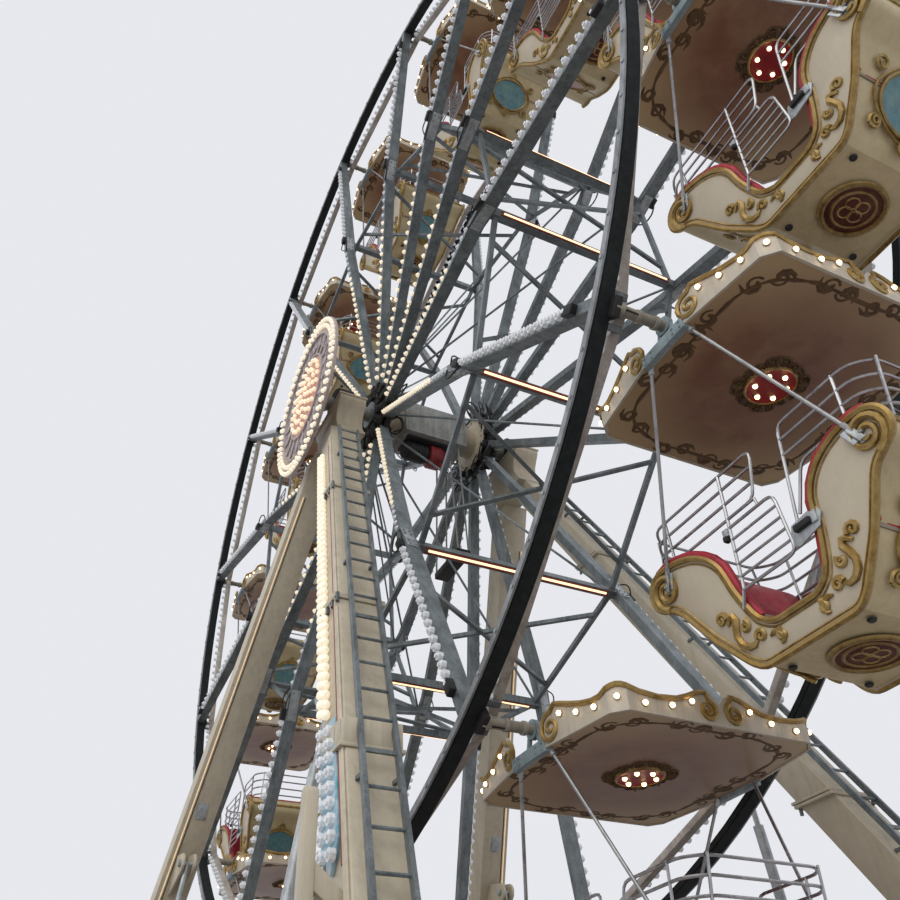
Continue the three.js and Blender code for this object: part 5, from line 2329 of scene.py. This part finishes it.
@dataclass
class Supports:
    """The legs and their heads, and the lamps, lines, rungs, collars, motor and tray on the fixed parts."""

    spread: float = 0.563
    lean: float = 0.14
    apex: float = 10.47
    head_y: float = 1.48
    half_x: float = 0.2065
    half_y: float = 0.2
    pin_x: float = 2.54
    pin_z: float = 4.9
    banded_z: float = 4.17
    centre: Point = (0.0, 0.0, AXLE_HEIGHT)

    def leg(self, side_x: int, side_y: int, dx: float, dy: float, z: float) -> Vector:
        """Gives a point of a leg.

        Args:
            side_x: -1 for a left leg, 1 for a right one.
            side_y: -1 for a front leg, 1 for a rear one.
            dx: how far from the leg's middle line, away from the wheel's middle, in metres.
            dy: how far from it along the axle, towards the outside, in metres.
            z: the height of the point.

        Returns:
            The point.
        """
        drop_down = self.apex - z
        return Vector(
            (side_x * (self.spread * drop_down + dx), side_y * (self.head_y + self.lean * drop_down + dy), z)
        )

    def legs(self) -> None:
        """Builds the four box legs with lugs, pins and props, and in front the posts on braced arms."""
        hx, hy = self.half_x, self.half_y
        for side_x, side_y, name in LEGS:
            foot, top = (self.leg(side_x, side_y, 0, 0, z) for z in (0.3205, 9.8995))
            corners = [
                self.leg(side_x, side_y, dx, dy, foot.z) for dx, dy in ((-hx, -hy), (hx, -hy), (hx, hy), (-hx, hy))
            ]
            parts = [plate("leg", corners, tuple(top - foot), 0.014)]
            pin = Vector(
                (side_x * self.pin_x, side_y * (self.head_y + self.lean * (self.apex - self.pin_z)), self.pin_z)
            )
            face = [self.leg(side_x, side_y, -hx + 0.02, 0, self.pin_z + h) for h in (0.17, -0.26)]
            nose = [
                pin + Vector((-side_x * 0.12 * cos(a), 0, 0.12 * sin(a)))
                for a in (radians(d) for d in (95, 65, 35, 5, -25, -55, -85))
            ]
            for shift in (-0.085, 0.055):
                cheek = [Vector((p.x, pin.y + shift, p.z)) for p in (face[0], *nose, face[1])]
                parts.append(plate("cheek", cheek, (0, 0.03, 0), 0.004))
            shoe = Vector((side_x * 2.3, side_y * 2.901, 0.32))
            parts.append(
                block("shoe", (shoe.x - 0.12, shoe.y - 0.12, 0.32), (shoe.x + 0.12, shoe.y + 0.12, 0.42), 0.01)
            )
            if side_y < 0:
                x = side_x * 4.304
                arch = [(x + 0.05 * cos(a), 3.46 + 0.05 * sin(a)) for a in (i * pi / 8 for i in range(9))]
                post = [(x + 0.05, 2.2), *arch, (x - 0.05, 2.2)]
                parts.append(plate("post", [(px, -3.0, pz) for px, pz in post], (0, 0.085, 0), 0.012))
                arm_end = -(self.head_y + self.lean * (self.apex - 2.56) - hy) + 0.03
                parts.append(block("arm", (x - 0.05, -2.95, 2.5), (x + 0.05, arm_end, 2.64), 0.01))
                brace = [
                    (x - 0.04, -2.93, 3.1), (x - 0.04, -2.93, 2.94), (x - 0.04, arm_end - 0.14, 2.63),
                    (x - 0.04, arm_end, 2.63)
                ]
                parts.append(plate("brace", brace, (0.08, 0, 0), 0.006))
            leg = dress(joined(f"{name}_box_leg", parts), CREAM)
            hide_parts(f"{name}_leg")
            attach(leg, "supports")
            rod = bent_bar("rod", [pin, pin.lerp(shoe + Vector((0, 0, 0.1)), 0.13)], 0.03, 8)
            tube = bent_bar("tube", [pin.lerp(shoe, 0.12), shoe + Vector((0, 0, 0.1))], 0.052, 12)
            bolt = turned(
                "bolt",
                [
                    (0.0, -0.12), (0.045, -0.12), (0.045, -0.088), (0.03, -0.086), (0.03, 0.088), (0.045, 0.09),
                    (0.045, 0.12), (0.0, 0.12)
                ],
                tuple(pin), "Y", 12, closed=True
            )
            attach(dress(joined(f"{name}_prop", [rod, tube, bolt]), ZINC_BRIGHT), "supports")

    def heads(self) -> None:
        """Cuts the two leg heads, whose sides narrow in a curve above the legs."""
        right = [
            (0.528, 10.59), (0.528, 10.5), (0.47, 10.4), (0.415, 10.3), (0.4, 10.2), (0.415, 10.1), (0.47, 10.0),
            (0.528, 9.93), (0.528, 9.9)
        ]
        ring = [*right, *[(-x, z) for x, z in reversed(right)]]
        for side, word in SIDES:
            head = plate(f"{word}_curved_head", [(x, side * 1.45 - 0.2, z) for x, z in ring], (0, 0.4, 0), 0.012)
            lips = [block("lip", (-0.545, side * 1.45 - 0.215, 10.56), (0.545, side * 1.45 + 0.215, 10.588), 0.005)]
            head = dress(joined(head.name, [head, *lips]), CREAM)
            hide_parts(f"{word}_leg_head")
            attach(head, "supports")

    def lamp_bands(self) -> None:
        """Sets the dense lit band on the right legs and the blue and white board under it."""
        lit, clear, boards = [], [], []
        for side_y in (-1, 1):
            for step in range(45):
                z = 9.2 - step * 0.108
                for column, dx in enumerate((-0.16, -0.06)):
                    lit.append(facing(self.leg(1, side_y, dx, self.half_y, z - 0.05 * column), (0, side_y, 0)))
            corners = [(-0.2, 4.3), (0.1, 4.3), (0.1, 3.3), (-0.05, 3.07), (-0.2, 3.3)]
            boards.append(
                plate(
                    "board", [self.leg(1, side_y, dx, self.half_y, z) for dx, z in corners], (0, side_y * 0.03, 0),
                    0.004
                )
            )
            for step in range(9):
                z = 4.22 - step * 0.125
                for dx in (-0.13, 0.03):
                    clear.append(
                        facing(self.leg(1, side_y, dx, self.half_y + 0.03, z - 0.03 * (dx > -0.1)), (0, side_y, 0))
                    )
        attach(globes("leg_lamp_bands", 0.043, lit, LIT_GLOBE), "supports")
        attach(dress(joined("leg_boards", boards), BOARD_BLUE), "supports")
        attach(caps("leg_clear_caps", 0.043, 0.055, clear, UNLIT_CAP_PAINTED_GLOW), "supports")

    def flanged_joint(self, side_x: int, side_y: int, z: float) -> tuple[list[Piece], list[Matrix]]:
        """Builds the flanges and webs of one bolted joint of a leg, and a band where the lower box is wider.

        Args:
            side_x: -1 for a left leg, 1 for a right one.
            side_y: -1 for a front leg, 1 for a rear one.
            z: the height of the joint.

        Returns:
            The pieces, and the places of the bolts.
        """
        hx, hy, grow = self.half_x, self.half_y, 0.045
        banded = z == self.banded_z
        wide = hx + grow * 0.4
        ring = [(-hx - grow, -hy - grow), (wide, -hy - grow), (wide, hy + grow), (-hx - grow, hy + grow)]
        pieces = []
        for lift in (-0.2 if banded else -0.03, 0.005):
            points = [self.leg(side_x, side_y, dx, dy, z + lift) for dx, dy in ring]
            pieces.append(plate("flange", points, (0, 0, 0.028), 0.003))
        if banded:
            signs = ((-1, -1), (1, -1), (1, 1), (-1, 1))
            band = [self.leg(side_x, side_y, sx * (hx + 0.022), sy * (hy + 0.022), z - 0.18) for sx, sy in signs]
            pieces.append(plate("band", band, (0, 0, 0.19), 0.004))
        bolts = [self.leg(side_x, side_y, -hx - 0.025, dy, z - 0.045) for dy in (-0.2, -0.07, 0.07, 0.2)]
        profile = ((-0.01, -0.03), (0.042, -0.03), (0.03, -0.12), (-0.01, -0.2))
        for dx in (-0.19, -0.06, 0.07, 0.19):
            web = [self.leg(side_x, side_y, dx, hy + y, z + h) for y, h in profile]
            pieces.append(plate("web", web, (0.012, 0, 0)))
            bolts.append(self.leg(side_x, side_y, dx + 0.05, hy + 0.025, z - 0.045))
        return pieces, [Matrix.Translation(spot) for spot in bolts]

    def leg_lines(self) -> None:
        """Lays channels, bright lines, flanges and cover plates on the legs."""
        channels, bright, red, flanges, covers, bolts, seams = [], [], [], [], [], [], []
        for side_x in (-1, 1):
            for side_y in (-1, 1):
                if side_x > 0:
                    for dx in (0.145, 0.185):
                        ends = [self.leg(1, side_y, dx, self.half_y + 0.008, z) for z in (9.5, 0.5)]
                        channels.append(bent_bar("channel", ends, 0.015, 4))
                    ends = [self.leg(1, side_y, 0.112, self.half_y + 0.012, z) for z in (9.3, 3.1)]
                    red.append(bent_bar("line", ends, 0.008, 4))
                else:
                    for top, low in ((9.3, 3.9), (3.75, 0.6)):
                        ends = [self.leg(-1, side_y, -self.half_x - 0.006, self.half_y - 0.06, z) for z in (top, low)]
                        bright.append(bent_bar("line", ends, 0.009, 4))
                        ends = [self.leg(-1, side_y, -self.half_x - 0.003, self.half_y - 0.09, z) for z in (top, low)]
                        seams.append(bent_bar("seam", ends, 0.006, 4))
                levels = () if side_x < 0 else (8.0, 5.742, self.banded_z) if side_y < 0 else (8.0, 4.288)
                for z in levels:
                    made, spots = self.flanged_joint(side_x, side_y, z)
                    flanges += made
                    bolts += spots
                for z, dy in ((self.pin_z, 0.05), (2.2, -0.02)) if side_x > 0 else ((5.55, 0.0),):
                    low = self.leg(side_x, side_y, -self.half_x, dy, z)
                    points = [
                        low + Vector((side_x * self.spread * -h, y, h))
                        for y, h in ((-0.07, -0.09), (0.07, -0.09), (0.07, 0.09), (-0.07, 0.09))
                    ]
                    covers.append(plate("cover", points, (-side_x * 0.012, 0, 0), 0.003))
        for name, pieces, finish in (
            ("leg_channels", channels, CREAM), ("leg_light_lines", bright, SOFT_LINE),
            ("leg_red_lines", red, RED_LINE), ("leg_flanges", flanges, CREAM),
            ("leg_covers", covers, ZINC_BRIGHT), ("leg_seams", seams, BLACK),
        ):
            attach(dress(joined(name, pieces), finish), "supports")
        deselect()
        bpy.ops.mesh.primitive_cylinder_add(vertices=6, radius=0.018, depth=0.09)
        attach(strewn("flange_bolts", dress(settle(newest("bolt")), ZINC), bolts), "supports")

    def rungs(self) -> None:
        """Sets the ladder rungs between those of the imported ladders."""
        places = []
        for side_y in (-1, 1):
            for step in range(30):
                if step % 5:
                    spot = self.leg(1, side_y, self.half_x + 0.12, 0, 0.9 + 0.3 * step)
                    places.append(Matrix.Translation(spot))
        rung = bent_bar("rung", [(0, -0.118, 0), (0, 0.118, 0)], 0.013, 6)
        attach(strewn("ladder_rungs", dress(rung, ZINC), places), "supports")

    def axle(self) -> None:
        """Dresses the axle: collars, bearings, girder and shaft, motor with its red unit and wires, and tray."""
        for side, word in SIDES:
            profile = [
                (0.1, 0.772), (0.43, 0.772), (0.435, 0.765), (0.435, 0.745), (0.43, 0.738), (0.25, 0.735),
                (0.235, 0.71), (0.235, 0.53), (0.262, 0.525), (0.262, 0.508), (0.1, 0.508)
            ]
            collar = turned("collar", [(r, side * y) for r, y in profile], self.centre, "Y", 36, closed=True)
            turns = [Matrix.Translation(self.centre) @ Matrix.Rotation(i * pi / 12, 4, "Y") for i in range(24)]
            nuts = strewn("nuts", block("nut", (-0.016, side * 0.715, 0.375), (0.016, side * 0.74, 0.407)), turns)
            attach(dress(joined(f"{word}_collar", [collar, nuts]), CREAM), "supports")
            housing = [(0.12, 1.3), (0.24, 1.31), (0.27, 1.34), (0.27, 1.56), (0.24, 1.59), (0.12, 1.6)]
            bearing = turned(
                f"{word}_bearing", [(r, side * y) for r, y in housing], self.centre, "Y", 28, closed=True
            )
            foot = block("foot", (-0.33, side * 1.45 - 0.15, 10.59), (0.33, side * 1.45 + 0.15, 10.68), 0.012)
            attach(dress(joined(bearing.name, [bearing, foot]), HUB_BLACK), "supports")
        parts = [
            block("girder", (-0.28, -0.5, 10.48), (0.28, 0.5, 11.06), 0.012),
            block("lip", (-0.3, -0.5, 10.45), (0.3, 0.5, 10.478), 0.004)
        ]
        parts += [block("plate", (-0.3, y - 0.012, 10.46), (0.3, y + 0.012, 11.08), 0.004) for y in (-0.5, 0.5)]
        parts.append(
            turned(
                "shaft", [(0.0, -1.7), (0.1, -1.7), (0.11, -1.69), (0.11, 1.69), (0.1, 1.7), (0.0, 1.7)], self.centre,
                "Y", 20, closed=True
            )
        )
        parts += [
            bent_bar("rod", [(x, y, 8.4), (x * 0.6, y, 10.47)], 0.014, 6) for x in (-0.35, 0.35) for y in (0.24, 0.4)
        ]
        girder = dress(joined("girder_and_shaft", parts), GIRDER)
        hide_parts("axle")
        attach(girder, "supports")
        motor = turned(
            "motor",
            [(0.0, -0.44), (0.12, -0.44), (0.145, -0.41), (0.145, -0.08), (0.11, -0.06), (0.11, -0.02), (0.0, -0.02)],
            (0.02, 0.0, 10.29), "Y", 24, closed=True
        )
        ribs = [
            turned("rib", square(0.14, 0.158, y, y + 0.012), (0.02, 0.0, 10.29), "Y", 24, closed=True)
            for y in (-0.38, -0.33, -0.28, -0.23, -0.18, -0.13)
        ]
        plinth = block("plinth", (-0.2, -0.44, 10.42), (0.21, 0.3, 10.452), 0.01)
        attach(dress(joined("drive_motor", [motor, *ribs, plinth]), BLACK), "supports")
        red = turned(
            "red_unit",
            [(0.0, -0.04), (0.16, -0.04), (0.18, -0.02), (0.18, 0.14), (0.15, 0.19), (0.09, 0.28), (0.0, 0.28)],
            (0.02, 0.0, 10.28), "Y", 24, closed=True
        )
        lever = bent_bar(
            "lever", rounded([(0.08, 0.1, 10.2), (0.12, 0.14, 10.06), (0.11, 0.16, 9.93)], 0.04, 3), 0.026, 6
        )
        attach(dress(joined("drive_red_unit", [red, lever]), MOTOR_RED), "supports")
        wires = []
        for step in range(5):
            start = Vector((0.1 - 0.05 * step, 0.1 + 0.04 * step, 10.2))
            path = [
                start, start + Vector((0.09, 0.02 * step, -0.12)), start + Vector((0.02, 0.12, -0.19 + 0.02 * step)),
                start + Vector((-0.1, 0.2, 0.05))
            ]
            wires.append(bent_bar("wire", rounded(path, 0.09, 4), 0.007, 6))
        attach(dress(joined("drive_wires", wires), BLACK), "supports")
        lips = [block("floor", (-0.36, 0.224, 8.38), (0.36, 0.416, 8.4), 0.003)]
        for sign in (-1, 1):
            lips.append(
                block("lip", (sign * 0.361 - 0.006, 0.219, 8.378), (sign * 0.361 + 0.006, 0.421, 8.47), 0.003)
            )
            lips.append(
                block(
                    "lip", (-0.366, 0.32 + sign * 0.095 - 0.006, 8.378), (0.366, 0.32 + sign * 0.095 + 0.006, 8.47),
                    0.003
                )
            )
        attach(dress(joined("hanging_tray", lips), HUB_BLACK), "supports")

    def build(self) -> None:
        """Builds all of it."""
        self.legs()
        self.heads()
        self.lamp_bands()
        self.leg_lines()
        self.rungs()
        self.axle()


def node_finish(name: str) -> Finish:
    """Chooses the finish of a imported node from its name: zinc for open steelwork and cream for the rest."""
    return ZINC if name.endswith(("_spokes", "_ladder", "_bracing")) else CREAM


def main() -> None:
    """Builds the dressed wheel."""
    logging.basicConfig(level=logging.INFO, format="%(name)s: %(message)s")
    Stage().build()
    for name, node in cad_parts.items():
        dress(node, node_finish(name))
    Gondolas().build()
    Wheel().build()
    Sign().build()
    Supports().build()
    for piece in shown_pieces():
        LOG.info("%s: %d faces", piece.name, len(piece.data.polygons))


if __name__ == "__main__":
    main()
